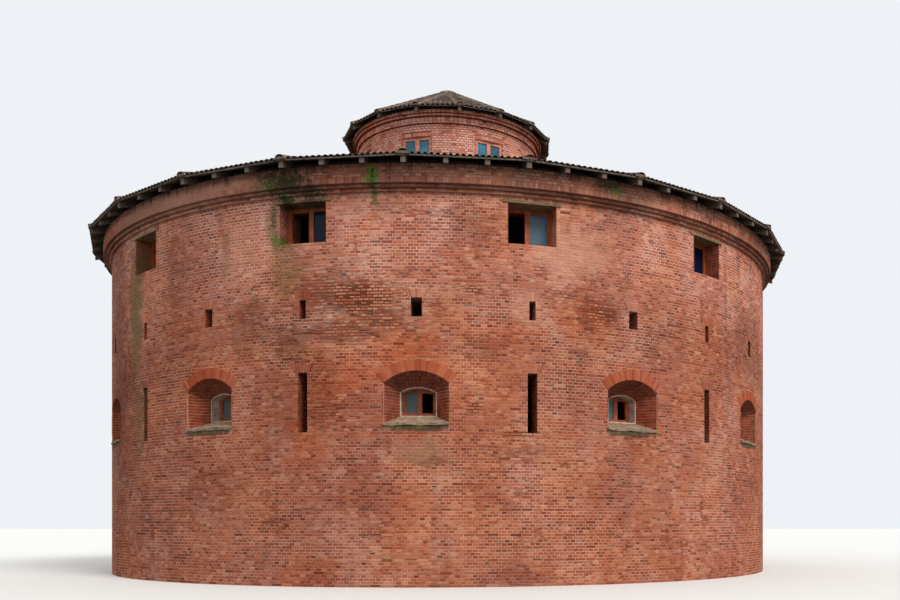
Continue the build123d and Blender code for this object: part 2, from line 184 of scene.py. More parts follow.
class TowerColours(bpy.types.PropertyGroup):
    """The colours of the finishes."""

    brick_dark: colour("Dark brick", "84402F", "Over-burnt bricks")
    brick_red: colour("Red brick", "AD5C45", "Common bricks")
    brick_salmon: colour("Salmon brick", "C67A60", "Soft pale bricks")
    brick_pale: colour("Pale brick", "D89C82", "The palest bricks")
    brick_orange: colour("Orange brick", "BF6847", "Bricks of the arches")
    faded_dark: colour("Faded dark brick", "A8695A", "Dark bricks of the turret")
    faded_pale: colour("Faded pale brick", "DFAA98", "Pale bricks of the turret")
    hollow: colour("Hollow", "4E3327", "The shade where a brick is gone")
    mortar: colour("Mortar", "BC907C", "Lime mortar")
    mortar_pale: colour("Pale mortar", "DDBCA9", "Washed lime mortar")
    mortar_dark: colour("Dark mortar", "6A3826", "Mortar deep between worn bricks")
    soot: colour("Soot", "4B352D", "Dirt that rain leaves")
    dun: colour("Dun", "93604A", "The brown skin of old wet brick")
    olive: colour("Olive", "71603A", "Thin algae on brick")
    moss: colour("Moss", "587D24", "Fresh moss")
    moss_dark: colour("Dark moss", "32331F", "Dead moss and twigs in the shade")
    timber: colour("Timber", "85796C", "Weathered softwood")
    timber_dark: colour("Dark timber", "3B322B", "Timber in the shelter of the eaves")
    end_grain: colour("End grain", "6F5E54", "Cut ends of the rafters")
    plank: colour("Plank", "A8936F", "The planks over the upper windows")
    plank_dark: colour("Dark plank", "6B5A42", "Grain of those planks")
    embrasure_paint: colour("Embrasure paint", "A35638", "Joinery of the arched windows")
    window_paint: colour("Window paint", "A4532B", "Joinery of the upper windows")
    turret_paint: colour("Turret paint", "CC8066", "Joinery of the turret windows")
    plaster: colour("Plaster", "CBB9A7", "Limewash of the throats")
    sill: colour("Sill", "9A7F68", "Mortar cap of the sills")
    tile: colour("Tile", "624E40", "Common roof tiles")
    tile_dark: colour("Dark tile", "392E27", "Tiles with lichen and soot")
    tile_pale: colour("Pale tile", "8E745E", "Faded tiles")
    bedding: colour("Bedding", "857060", "The mortar that hip tiles lie in")
    embrasure_glass: colour("Embrasure glass", "5A6965", "Glass of the arched windows")
    window_glass: colour("Window glass", "0A1A33", "Glass of the upper windows")
    # Painted reflection of the sky in the upper windows' glass
    window_glass_reflection: colour("Pale window glass", "586D7C", "Where that glass shows the sky")
    turret_glass: colour("Turret glass", "4A7B90", "Glass of the turret windows")
    floor: colour("Floor", "D9D7D2", "The stage's floor")
    floor_bounce: colour("Floor's light", "5C5A54", "What the floor sends back on the tower")


class TowerStage(bpy.types.PropertyGroup):
    """The camera, as a person with a shift lens stood, and the lights."""

    distance: length("Distance", 34.7, "From the tower's axis to the camera")
    eye: length("Eye height", 1.6, "Height of the camera")
    azimuth: angle("Azimuth", 4.0, "Where the camera stands round the tower")
    yaw: angle("Yaw", 5.494, "How far right of the axis the camera points")
    focal: number("Focal length", 38.53, "In mm on a 36 mm frame")
    shift_x: number("Shift X", -0.1006, "Sideways shift of the lens")
    shift_y: number("Shift Y", 0.2469, "Upward shift of the lens")
    sun_strength: number("Sun", 2.2, "Strength of the key light")
    sun_azimuth: angle("Sun azimuth", 40, "Where the key light stands round the tower")
    sun_height: angle("Sun height", 44, "How high the key light stands")
    sun_size: angle("Sun size", 24, "How broad the key light is")
    sky_strength: number("Sky", 1.0, "Strength of the sky's light")


def outward(azimuth):
    """The direction out of the tower at an azimuth in radians, counted from the front."""
    return np.array([math.sin(azimuth), -math.cos(azimuth), 0.0])


def sideways(azimuth):
    """The direction round the tower in which azimuths grow."""
    return np.array([math.cos(azimuth), math.sin(azimuth), 0.0])


UP = np.array([0.0, 0.0, 1.0])


def spot(azimuth, reach, across=0.0, height=0.0):
    """A place by its azimuth and distance from the axis, a step sideways and its height."""
    return outward(azimuth) * reach + sideways(azimuth) * across + UP * height


def drifting(place, drifts):
    """How much tones drift at a place, over drifts that each have a strength and a fineness."""
    return sum(much * noise.noise(Vector(place) * fine) for much, fine in drifts)


class Laid:
    """Copies of one pattern, each with its place and size, joined into one mesh."""

    def __init__(self):
        self.places = []

    def put(self, foot, along, up, out, size, tone, taper=0.0, lean=0.0, burn=0.0, dull=0.0):
        """Adds a copy: its foot, three directions, (length, depth, height) and tone from 0 to 1.

        Burn says from 0 to 1 how orange it is, and the last how dark it is made: by dust, and on
        the soffits of arched openings by painted shade.
        """
        self.places.append((*foot, *along, *up, *out, *size, taper, lean, tone, burn, dull))

    def mesh(self, name, pattern, material, slot, arris=0.0):
        """Makes the joined mesh of all copies, with a tone, a burn and a darkening for each."""
        points, faces = pattern
        rows = np.array(self.places)
        foot, along, up, out = (rows[:, None, k : k + 3] for k in (0, 3, 6, 9))
        wide, deep, high, taper, lean = (rows[:, None, k, None] for k in range(12, 17))
        x, y, z = (points[None, :, k, None] for k in range(3))
        worn = arris * y
        across = x * (wide + taper * z) + lean * z - np.sign(x) * worn
        rise = z * high - np.sign(z - 0.5) * worn
        places = foot + along * across + out * (y * deep) + up * rise
        steps = np.arange(len(rows)) * len(points)
        all_faces = [tuple(face + step) for step in steps for face in faces]
        mesh = bpy.data.meshes.new(name)
        mesh.from_pydata(places.reshape(-1, 3), [], all_faces)
        for attribute, look in zip(("tone", "burn", "dull"), rows[:, 17:].T.astype(np.float32)):
            values = mesh.attributes.new(attribute, "FLOAT", "POINT")
            values.data.foreach_set("value", np.repeat(look, len(points)))
        return add_piece(mesh, material)


def new_object(name, data):
    """A new object of the scene, which shows a mesh or is a lamp or a camera."""
    thing = bpy.data.objects.new(name, data)
    bpy.context.scene.collection.objects.link(thing)
    return thing


def mesh_of(name, shape):
    """A bmesh as a mesh."""
    mesh = bpy.data.meshes.new(name)
    shape.to_mesh(mesh)
    shape.free()
    return mesh


def add_piece(mesh, material):
    """A new piece of the tower that shows a mesh, under the mesh's name."""
    mesh.materials.append(material)
    piece = new_object(mesh.name, mesh)
    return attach(piece, BODY)


def pattern_of(shape):
    """A bmesh as an array of points and a list of faces, for laying many copies."""
    shape.verts.index_update()
    shape.verts.ensure_lookup_table()
    points = np.array([v.co[:] for v in shape.verts])
    faces = [np.array([v.index for v in face.verts]) for face in shape.faces]
    shape.free()
    return points, faces


def brick_pattern():
    """A brick one unit each way, with its foot centred at the origin and no back."""
    shape = bmesh.new()
    bmesh.ops.create_cube(shape, size=1)
    bmesh.ops.translate(shape, verts=shape.verts, vec=(0, 0.5, 0.5))
    back = [face for face in shape.faces if face.normal.y < -0.5]
    bmesh.ops.delete(shape, geom=back, context="FACES")
    return pattern_of(shape)


def arc_edges(shape, steps):
    """A half circle of edges from x = -0.5 over y = 1 to x = 0.5."""
    start = shape.verts.new((-0.5, 0, 0))
    bmesh.ops.spin(
        shape, geom=[start], axis=(0, 0, 1), cent=(0, 0, 0), angle=-math.pi, steps=steps
    )
    bmesh.ops.scale(shape, verts=shape.verts, vec=(1, 2, 1))
    return list(shape.edges)


def tile_pattern(steps, hollow=0.0, upside_down=False):
    """A half-round tile of unit size, its lower end closed, or hollow with a real thickness."""
    shape = bmesh.new()
    edges = arc_edges(shape, steps)
    ends = bmesh.ops.extrude_edge_only(shape, edges=edges)
    raised = [v for v in ends["geom"] if isinstance(v, bmesh.types.BMVert)]
    bmesh.ops.translate(shape, verts=raised, vec=(0, 0, 1))
    if upside_down:
        bmesh.ops.scale(shape, verts=shape.verts, vec=(1, -1, 1))
        bmesh.ops.translate(shape, verts=shape.verts, vec=(0, 1, 0))
    shape.normal_update()
    if sum(face.normal.y for face in shape.faces) < 0:
        bmesh.ops.reverse_faces(shape, faces=shape.faces)
    if hollow:
        bmesh.ops.solidify(shape, geom=shape.faces[:], thickness=hollow)
    elif not upside_down:
        low = [edge for edge in shape.edges if all(v.co.z < 0.5 for v in edge.verts)]
        ends_low = [v for v in shape.verts if v.co.z < 0.5 and abs(v.co.x) > 0.49]
        low.append(shape.edges.new(ends_low))
        for face in bmesh.ops.contextual_create(shape, geom=low)["faces"]:
            face.normal_update()
            if face.normal.z > 0:
                face.normal_flip()
    return pattern_of(shape)


def interval(centre, half_width, radius):
    """The azimuths that a width covers on the wall."""
    half = math.asin(half_width / radius)
    return centre - half, centre + half


def cut_spans(start, end, gaps):
    """What is left of a brick between two azimuths once the openings are taken out."""
    spans = [(start, end)]
    for low, high in gaps:
        kept = []
        for a, b in spans:
            if high <= a or low >= b:
                kept.append((a, b))
                continue
            if a < low:
                kept.append((a, low))
            if high < b:
                kept.append((high, b))
        spans = kept
    return spans


class Segmental:
    """An arch that is part of a circle, from its half span, springing height and rise."""

    def __init__(self, width, springing, rise):
        self.half = width / 2
        self.springing = springing
        self.radius = (self.half**2 + rise**2) / (2 * rise)
        self.centre = springing + rise - self.radius
        self.opening = math.asin(self.half / self.radius)

    def point(self, turn, extra=0.0):
        """The place at an angle from the crown, extra further out, as sideways and height."""
        reach = self.radius + extra
        return reach * math.sin(turn), self.centre + reach * math.cos(turn)

    def half_width(self, height, ring):
        """Half the width that the arch and its ring take up at a height over the springing."""
        outer_x, outer_z = self.point(self.opening, ring)
        if height < outer_z:
            part = (height - self.springing) / (outer_z - self.springing)
            return self.half + (outer_x - self.half) * part
        reach = self.radius + ring
        over = height - self.centre
        return math.sqrt(reach**2 - over**2) if over < reach else 0.0


# Each place has its azimuth in degrees, height, half width in degrees, half height and strength
WORN = [
    (-7, 7.1, 5.5, 0.6, 0.95), (-5, 6.6, 4.5, 0.45, 0.8), (-12.5, 7.3, 4, 0.6, 0.7),
    (-9, 6.3, 6.5, 0.35, 0.8), (-1.5, 7.7, 2.5, 0.2, 0.5), (-16.5, 6.2, 4, 0.4, 0.6),
    (16.2, 7.87, 1.8, 0.2, 0.9), (7.2, 7.3, 1.6, 0.15, 0.9), (24.5, 6.9, 4, 0.6, 0.75),
    (19.5, 7.35, 2.5, 0.2, 0.6), (22, 5.9, 2.5, 0.2, 0.5), (14, 6.6, 2, 0.15, 0.7),
    (7.6, 4.4, 1.5, 0.18, 0.9), (13.5, 3.78, 4.5, 0.1, 0.9), (13, 3.3, 6, 0.3, 0.5),
    (-23, 6.9, 3, 0.5, 0.5), (-12, 4.3, 3, 0.3, 0.6), (1, 9.2, 3, 0.12, 0.7),
    (20.6, 9, 1.8, 0.6, 0.7), (120, 6.4, 14, 1.2, 0.8), (-175, 7, 16, 1, 0.7),
    (-110, 6.2, 12, 1.3, 0.8),
]
# How fine specks of wear are round the wall and up it, from which slice of noise they come,
# and how strong noise is where they begin
SPECKS_ROUND, SPECKS_UP, SPECK_SLICE, SPECK_START = 9, 0.9, 3.0, 0.25
# Where an opening was closed: foot and head of the new work, and its joints, in degrees
CLOSED = [(8.35, 9.5, (18.75, 20.25, 21.75, 22.5, 23.25))]


def wear_at(azimuth, height):
    """How worn the wall is at a place, from 0 to 1."""
    degrees = math.degrees(azimuth)
    wear = 0.0
    for centre, level, half_angle, half_height, strength in WORN:
        turn = (degrees - centre + 180) % 360 - 180
        reach = (turn / half_angle) ** 2 + ((height - level) / half_height) ** 2
        wear += strength * math.exp(-reach)
    speck = noise.noise(Vector((azimuth * SPECKS_ROUND, height * SPECKS_UP, SPECK_SLICE)))
    return min(wear + max(0.0, speck - SPECK_START), 1.0)


# How far a flat arch bears on the wall beside its opening, and how much wider it is at its head
FAN_BEARING, FAN_GROWTH = 0.07, 0.6


def fan_half_width(width, part):
    """Half the width of the flat arch over an opening, a part of the way up."""
    return (width / 2 + FAN_BEARING) * (1 + FAN_GROWTH * part)


def bay_gaps(o, b, low, high, radius, half_bay):
    """The openings that one course of a bay is laid round, as azimuths from the bay's middle."""
    middle = (low + high) / 2
    lap = b.joint / 2 + 2 * b.arris
    gaps = []
    arch = Segmental(o.mouth_width, o.mouth_springing, o.mouth_rise)
    if o.mouth_sill - o.sill_thickness < high and middle < arch.point(0, b.voussoir)[1]:
        wide = arch.half if middle < o.mouth_springing else arch.half_width(middle, b.voussoir)
        if wide > 0:
            gaps.append(interval(0, wide - lap, radius))
    holes = [
        (0, o.wide_vent, o.vent_bottom, o.vent_top, True),
        (half_bay, o.narrow_vent, o.vent_bottom, o.vent_top, True),
        (half_bay, o.slit_width, o.slit_bottom, o.slit_top, True),
        (half_bay, o.window_width, o.window_bottom, o.window_top, False),
    ]
    for centre, width, bottom, top, fan in holes:
        half = 0.0
        if bottom < middle < top:
            half = width / 2
        elif fan and top < middle < top + o.fan_height:
            half = fan_half_width(width, (middle - top) / o.fan_height)
        elif not fan and top < middle:
            half = width / 2 + o.lintel_bearing
        if half:
            sides = (-1, 1) if centre else (1,)
            gaps += [interval(centre * side, half - lap, radius) for side in sides]
    return gaps


class Mason:
    """Lays the bricks of a round wall and of its openings, all for one mesh."""

    # How deep the bricks' backs lie in the mortar, and how far those inside openings stand out of
    # it, as shares of the stand-out on the face; the sheet of painted shade where a brick has
    # spalled stands out of the mortar by a share of a back's depth
    SUNK, FAN_SUNK, ARCH_SUNK, HOLLOW_OUT = 0.4, 0.6, 1.2, 0.2
    JAMB_OUT, SOFFIT_OUT = 0.7, 0.6
    # The joints of arches and undersides, as shares of a common joint
    ARCH_JOINT, SOFFIT_JOINT = 0.3, 0.8
    # The rows of bricks on the underside of an arched splay
    SOFFIT_ROWS = 3
    # The least room for a whole brick at the end of a jamb's course and for a piece of one, in
    # headers, and the slack in counting its courses
    WHOLE_ROOM, PIECE_ROOM, SLACK = 1.5, 0.6, 0.01
    # The mean tone of bricks and the least of a sound one, how tones drift over the wall, how
    # they spread, and what wear adds
    TONE, LEAST_TONE, FAN_TONE = 0.58, 0.14, 0.03
    DRIFTS = ((0.22, 0.55), (0.2, 2.1))
    SPREAD, FAN_SPREAD, JAMB_SPREAD, SOFFIT_SPREAD = 0.17, 0.11, 0.1, 0.12
    WORN_TONE, WORN_SPREAD, WORN_SPALLS = 0.1, 0.05, 4
    # Ranges of the part that a spalled brick has lost, and of tone, burn and darkening: dirt on
    # the arches, painted shade on the soffits
    LOST, HARD_BURN, FAN_BURN, SOFFIT_DULL = (0.25, 0.6), (0.35, 0.85), (0, 0.3), (0.45, 0.8)
    ARCH_TONE, ARCH_BURN, ARCH_DULL = (0.4, 0.85), (0.25, 0.85), (0, 0.12)

    def __init__(self, radius, seed):
        self.radius = radius
        self.b = bpy.context.scene.tower_bricks
        self.rng = np.random.default_rng(SEED + seed)
        self.bricks = Laid()

    def tone(self, foot, bias, spread):
        """A brick's tone: random, and drifting in patches over the wall."""
        tone = self.rng.normal(self.TONE, spread) + drifting(foot, self.DRIFTS) + bias
        return float(np.clip(tone, self.LEAST_TONE, 1.0))

    def brick(self, start, end, bed, height, bias=0.0, burn=0.0):
        """A brick of the face between two azimuths, on its bed joint, worn and perhaps spalled."""
        b, rng = self.b, self.rng
        azimuth = (start + end) / 2
        wear = wear_at(azimuth, bed)
        joint = b.joint + (b.worn_joint - b.joint) * wear
        width = (end - start) * self.radius - 0.5 * (b.joint + joint)
        if width < b.joint:
            return
        embedded = self.SUNK * b.stand_out
        foot = spot(azimuth, self.radius - embedded, 0, bed + joint / 2)
        depth = embedded + b.stand_out + rng.uniform(-1, 1) * b.uneven * (1 + wear)
        tone = self.tone(foot, bias + self.WORN_TONE * wear, self.SPREAD + self.WORN_SPREAD * wear)
        high = height - joint
        axes = sideways(azimuth), UP, outward(azimuth)
        # A spalled brick's lost part is filled by a thin sheet of the hollow colour: painted shade
        if rng.random() < b.spalled * (1 + self.WORN_SPALLS * wear):
            lost = rng.uniform(*self.LOST) * high
            hollow = foot + UP * (high - lost)
            high -= lost
            shallow = (1 + self.HOLLOW_OUT) * embedded
            self.bricks.put(hollow, *axes, (width, shallow, lost), 0.0)
        self.bricks.put(foot, *axes, (width, depth, high), tone, burn=burn)

    def row(self, low, high, bricks, bed, height, bias=0.0):
        """A row of equal bricks between two azimuths."""
        step = (high - low) / bricks
        for k in range(bricks):
            start = low + k * step
            self.brick(start, start + step, bed, height, bias)

    def ring(self, bed, height, bricks, bias=0.0, gaps=(), shift=0.0):
        """A course of equal bricks right round the wall, shifted by a part of a brick."""
        step = 2 * math.pi / bricks
        for k in range(bricks):
            for a, z in cut_spans((k + shift) * step, (k + 1 + shift) * step, gaps):
                self.brick(a, z, bed, height, bias)

    def bay(self, walls, o, centre):
        """The courses of one bay of the main wall, mostly headers, from ground to cornice."""
        b = self.b
        half_bay = math.pi / walls.bays
        pitch = 2 * math.pi / b.stretchers
        quoin = math.asin((o.mouth_width / 2 + b.quoin) / self.radius)
        for course in range(round(walls.top / b.course)):
            bed = course * b.course
            gaps = bay_gaps(o, b, bed, bed + b.course, self.radius, half_bay)
            for foot, head, joints in CLOSED:
                turns = [math.radians(joint) - centre for joint in joints]
                if foot < bed < head and abs(turns[0]) < half_bay:
                    gaps.append((turns[0], turns[-1]))
                    for a, z in zip(turns, turns[1:]):
                        self.brick(centre + a, centre + z, bed, b.course)
            step = pitch / 2 if course % b.cycle else pitch
            shift = 0.5 * (course % 2)
            beside_arch = o.mouth_sill - b.course < bed < o.mouth_springing + o.mouth_rise
            for k in range(round(2 * half_bay / step)):
                start = -half_bay + (k - shift) * step
                for a, z in cut_spans(start, start + step, gaps):
                    hard = beside_arch and abs(a + z) / 2 < quoin
                    burn = self.rng.uniform(*self.HARD_BURN) if hard else 0.0
                    self.brick(centre + a, centre + z, bed, b.course, burn=burn)

    def arch_ring(self, azimuth, arch):
        """The ring of wedge-shaped bricks round an arched opening."""
        b, rng = self.b, self.rng
        bricks = round(2 * arch.opening * arch.radius / b.course)
        step = 2 * arch.opening / bricks
        growth = (arch.radius + b.voussoir) / arch.radius
        inner = step * arch.radius
        sunk = self.ARCH_SUNK * b.stand_out
        for k in range(bricks):
            turn = -arch.opening + (k + 0.5) * step
            x, z = arch.point(turn)
            here = azimuth + x / self.radius
            side = sideways(here)
            up = side * math.sin(turn) + UP * math.cos(turn)
            along = side * math.cos(turn) - UP * math.sin(turn)
            foot = spot(here, self.radius - sunk, 0, z)
            depth = sunk + b.stand_out + rng.uniform(0, b.uneven)
            size = (inner - self.ARCH_JOINT * b.joint, depth, b.voussoir)
            tone, taper = rng.uniform(*self.ARCH_TONE), inner * (growth - 1)
            burn, dull = rng.uniform(*self.ARCH_BURN), rng.uniform(*self.ARCH_DULL)
            axes = along, up, outward(here)
            self.bricks.put(foot, *axes, size, tone, taper, burn=burn, dull=dull)

    def fan(self, azimuth, width, bottom, height):
        """The flat arch of upright bricks over a slit or a vent."""
        b = self.b
        low, high = fan_half_width(width, 0), fan_half_width(width, 1)
        bricks = max(3, 2 * round(low / b.course) + 1)
        pitch = 2 * low / bricks
        growth = high / low - 1
        sunk = self.FAN_SUNK * b.stand_out
        size = (pitch - b.joint, sunk + b.stand_out, height - b.joint)
        axes = sideways(azimuth), UP, outward(azimuth)
        for k in range(bricks):
            x = -low + (k + 0.5) * pitch
            foot = spot(azimuth, self.radius - sunk, x, bottom + b.joint / 4)
            tone = self.tone(foot, self.FAN_TONE, self.FAN_SPREAD)
            burn = self.rng.uniform(*self.FAN_BURN)
            self.bricks.put(foot, *axes, size, tone, pitch * growth, x * growth, burn)

    def jamb(self, near, far, bottom, top, facing, dull, bias):
        """Courses on the side of an opening, from its edge at the face to its inner edge."""
        b = self.b
        run = far - near
        reach = float(np.linalg.norm(run))
        along = run / reach
        sunk = self.SUNK * b.stand_out
        first = math.ceil(bottom / b.course - self.SLACK)
        last = math.floor(top / b.course + self.SLACK)
        for course in range(first, last):
            start = -b.joint / 2
            edges = [start, b.header] if course % 2 else [start]
            while edges[-1] + self.WHOLE_ROOM * b.header < reach:
                edges.append(edges[-1] + 2 * b.header)
            edges[-1] = reach if reach - edges[-1] < self.PIECE_ROOM * b.header else edges[-1]
            if edges[-1] < reach:
                edges.append(reach)
            for a, z in zip(edges, edges[1:]):
                rise = UP * (course * b.course + b.joint / 2)
                foot = near + along * (a + z) / 2 - facing * sunk + rise
                depth = sunk + self.JAMB_OUT * b.stand_out
                size = (z - a - b.joint, depth, b.course - b.joint)
                tone = self.tone(foot, bias, self.JAMB_SPREAD)
                self.bricks.put(foot, along, UP, facing, size, tone, dull=dull)

    def reveal(self, azimuth, half, inner_half, depth, bottom, top, dull=0.2, bias=0.05):
        """Both brick sides of an opening."""
        for side in (-1, 1):
            near = spot(azimuth, self.radius, half * side)
            far = spot(azimuth, self.radius - depth, inner_half * side)
            facing = np.cross(far - near, UP) * side
            facing /= np.linalg.norm(facing)
            self.jamb(near, far, bottom, top, facing, dull, bias)

    def soffit(self, azimuth, arch, throat, depth):
        """The bricks on the underside of an arched splay, in rows from the face to the throat."""
        b = self.b
        bricks = round(2 * arch.opening * arch.radius / b.course)
        sunk = self.SUNK * b.stand_out

        def place(part, inward):
            """A place on the soffit, a part of the way along the arch and inward."""
            x0, z0 = arch.point((2 * part - 1) * arch.opening)
            x1, z1 = throat.point((2 * part - 1) * throat.opening)
            x, z = x0 + (x1 - x0) * inward, z0 + (z1 - z0) * inward
            return spot(azimuth, self.radius - depth * inward, x, z)

        for row in range(self.SOFFIT_ROWS):
            inner, outer = (row + 1) / self.SOFFIT_ROWS, row / self.SOFFIT_ROWS
            for k in range(bricks):
                a, m, z = k / bricks, (k + 0.5) / bricks, (k + 1) / bricks
                foot = place(m, outer)
                up = place(m, inner) - foot
                high = float(np.linalg.norm(up))
                up /= high
                along = place(z, outer) - place(a, outer)
                wide = float(np.linalg.norm(along))
                narrow = float(np.linalg.norm(place(z, inner) - place(a, inner)))
                along -= up * float(along @ up)
                along /= np.linalg.norm(along)
                facing = np.cross(up, along)
                thick = sunk + self.SOFFIT_OUT * b.stand_out
                size = (wide - self.SOFFIT_JOINT * b.joint, thick, high - b.joint)
                tone = self.tone(foot, 0.0, self.SOFFIT_SPREAD)
                # The soffit's bricks are darkened as painted shade under the arch
                dull = self.rng.uniform(*self.SOFFIT_DULL)
                axes = along, up, facing
                self.bricks.put(foot - facing * sunk, *axes, size, tone, narrow - wide, dull=dull)

    def join(self, name, material):
        """Joins the bricks into one piece."""
        return self.bricks.mesh(name, brick_pattern(), material, "brick", self.b.arris)


def bay_azimuths(walls):
    """The azimuth of the middle of each bay."""
    return [2 * math.pi / walls.bays * k for k in range(walls.bays)]


# Settings of the nodes that are used most
SMOOTH = {"interpolation_type": "SMOOTHSTEP"}
BLEND = {"data_type": "RGBA"}
TINT = {"data_type": "RGBA", "blend_type": "MULTIPLY"}
TIMES = {"operation": "MULTIPLY"}
TIMES_PLUS = {"operation": "MULTIPLY_ADD"}
MOST = {"operation": "MAXIMUM"}
LENGTH = {"operation": "LENGTH"}


def opaque(rgb):
    """A colour with full alpha."""
    return (*rgb[:3], 1.0)


def add_node(tree, kind, *values, output=None, **settings):
    """Adds a node with its settings, and returns its first output or the one that is named.

    The values, or links from other nodes, go to the sockets that it shows, in their order.
    """
    node = tree.nodes.new("ShaderNode" + kind)
    for name, value in settings.items():
        setattr(node, name, value)
    for socket, value in zip([s for s in node.inputs if s.enabled], values):
        if isinstance(value, bpy.types.NodeSocket):
            tree.links.new(value, socket)
        else:
            socket.default_value = opaque(value) if socket.type == "RGBA" else value
    return node.outputs[output] if output else [s for s in node.outputs if s.enabled][0]


class Finish:
    """A material under way: its shader, where a point is on the tower, and common patterns.

    Azimuths are in degrees and noise is in cycles a metre.
    """

    # Where the soft edge of a patch begins and ends, in radii of the patch; the patches are
    # stains, and painted light and shade
    SOFT_EDGE = (0.45, 1.15)
    # How finely the relief is followed, in pixels
    FILTER = 0.1

    def __init__(self, name, roughness, specular=0.5):
        self.material = bpy.data.materials.new(name)
        self.material.use_nodes = True
        self.tree = self.material.node_tree
        self.shader = self.tree.nodes["Principled BSDF"]
        self.shader.inputs["Roughness"].default_value = roughness
        self.shader.inputs["Specular IOR Level"].default_value = specular
        add = self.add = partial(add_node, self.tree)
        self.at = add("TexCoord", output="Object")
        x, y, self.height = add("SeparateXYZ", self.at).node.outputs
        self.reach = add("VectorMath", add("CombineXYZ", x, y), **LENGTH)
        azimuth = add("Math", x, add("Math", y, -1.0, **TIMES), operation="ARCTAN2")
        degrees = add("Math", azimuth, 180 / math.pi, **TIMES)
        half_bay = 180 / bpy.context.scene.tower_walls.bays
        bay_degrees = add("Math", degrees, half_bay, -half_bay, operation="WRAP")
        self.unrolled = add("CombineXYZ", degrees, self.height)
        self.bay_unrolled = add("CombineXYZ", bay_degrees, self.height)

    def cloud(self, scale, detail, roughness=0.55, stretch=(1, 1, 1)):
        """Noise, drawn out along the axes whose stretch is small."""
        where = self.add("VectorMath", self.at, stretch, **TIMES)
        return self.add("TexNoise", where, scale, detail, roughness)

    def drift(self, low, high, *cloud, start=0.0, end=1.0, **stretched):
        """Noise carried smoothly from one range to another, and held at its ends."""
        cloud = self.cloud(*cloud, **stretched)
        return self.add("MapRange", cloud, low, high, start, end, **SMOOTH)

    def ragged(self, gain, offset, *cloud):
        """Noise that makes the edges of patches ragged."""
        return self.add("Math", self.cloud(*cloud), gain, offset, **TIMES_PLUS)

    def tinted(self, base, factor, low, high):
        """A colour under a tint that lies between two, by a factor."""
        tint = self.add("Mix", factor, low, high, **BLEND)
        return self.add("Mix", 1.0, base, tint, **TINT)

    def patches(self, ragged, places, bay_places=(), cover=0.0):
        """How strongly one kind of patch covers a point: the most of its ragged patches. The kinds
        are stains, and painted light and shade.
        """
        for where, group in ((self.unrolled, places), (self.bay_unrolled, bay_places)):
            for azimuth, height, half_angle, half_height, strength in group:
                scale = (1 / half_angle, 1 / half_height, 0)
                offset = (-azimuth / half_angle, -height / half_height, 0)
                within = self.add("VectorMath", where, scale, offset, **TIMES_PLUS)
                reach = self.add("VectorMath", within, **LENGTH)
                edge = self.add("Math", reach, ragged, operation="ADD")
                patch = self.add("MapRange", edge, *self.SOFT_EDGE, strength, 0.0, **SMOOTH)
                cover = self.add("Math", cover, patch, **MOST)
        return cover

    def painted(self, base):
        """Gives the shader its colour, and hands over the material."""
        self.tree.links.new(base, self.shader.inputs["Base Color"])
        return self.material

    def carved(self, relief, strength, depth):
        """Gives the shader its relief."""
        bump = self.add("Bump", strength, depth, self.FILTER, relief)
        self.tree.links.new(bump, self.shader.inputs["Normal"])


# Each patch has its azimuth in degrees, height, half width in degrees, half height and strength
MOSS = [
    (-5.4, 10, 1, 0.36, 1), (-5.3, 9.6, 0.6, 0.4, 0.7), (-18.7, 8.62, 1.3, 0.2, 0.75),
    (-17.6, 9.6, 1.3, 0.2, 0.75), (-19.5, 9.9, 1.6, 0.2, 0.5), (26.5, 10.05, 1.6, 0.16, 0.6),
    (149, 10, 1.6, 0.5, 0.9), (-119, 8.62, 1.6, 0.25, 0.7),
]
TWIGS = [
    (-16.8, 9.95, 3.6, 0.42, 0.95), (-18.8, 10.15, 2, 0.25, 0.9), (-13.6, 9.72, 2.6, 0.22, 0.85),
    (-17.3, 9.58, 1.7, 0.24, 0.95), (-14, 9.54, 2.6, 0.12, 0.75), (-19.2, 9.2, 0.6, 0.5, 0.6),
    (25.6, 10.15, 2.4, 0.2, 0.85), (150, 9.9, 3, 0.6, 0.8), (-76, 9.8, 3, 0.5, 0.8),
]
OLIVE = [
    (-48.3, 7.6, 2.8, 2, 0.75), (-47, 4.6, 2.2, 1.4, 0.45), (-17.4, 7.8, 3, 0.8, 0.42),
    (-18, 8.45, 2, 0.2, 0.6), (-19.4, 9, 1.2, 0.6, 0.5), (-27, 8.4, 0.8, 0.9, 0.3),
    (-128, 7, 3, 2.4, 0.6), (105, 8, 3, 1.8, 0.6), (1, 3.2, 5, 0.3, 0.35),
]
SOOT = [
    (-57, 7, 6, 5, 0.35), (27, 10, 7, 0.5, 0.45), (100, 9, 12, 2, 0.4), (-160, 8.6, 9, 2.4, 0.4),
    (-90, 6, 9, 4, 0.35),
]
# One of these, at 7.2° and 9 m, only darkens the wall left of an upper window in a soft arc
DUN = [
    (-22.5, 6.5, 4.2, 0.8, 0.6), (7.2, 9, 4.4, 0.7, 0.55), (-3, 9.3, 4, 0.3, 0.35),
    (8, 5.9, 4, 0.4, 0.45), (-16.5, 5.9, 3, 0.5, 0.45), (-37, 8.2, 4, 1.2, 0.4),
    (-52, 4.5, 8, 2.5, 0.5), (-14, 4.6, 5, 1.4, 0.35), (0, 3.4, 7, 0.3, 0.4), (60, 7, 9, 1.6, 0.5),
    (165, 6, 12, 1.5, 0.6), (-135, 8, 9, 1, 0.5),
]
ORANGE = [
    (-2, 5.75, 6.5, 0.6, 0.6), (-13, 4.4, 5, 1.6, 0.35), (-8, 5.2, 3, 0.9, 0.45),
    (11, 6.2, 6, 0.4, 0.4), (22.5, 6.8, 4.5, 0.9, 0.35), (-4, 8.9, 5, 0.35, 0.3),
]
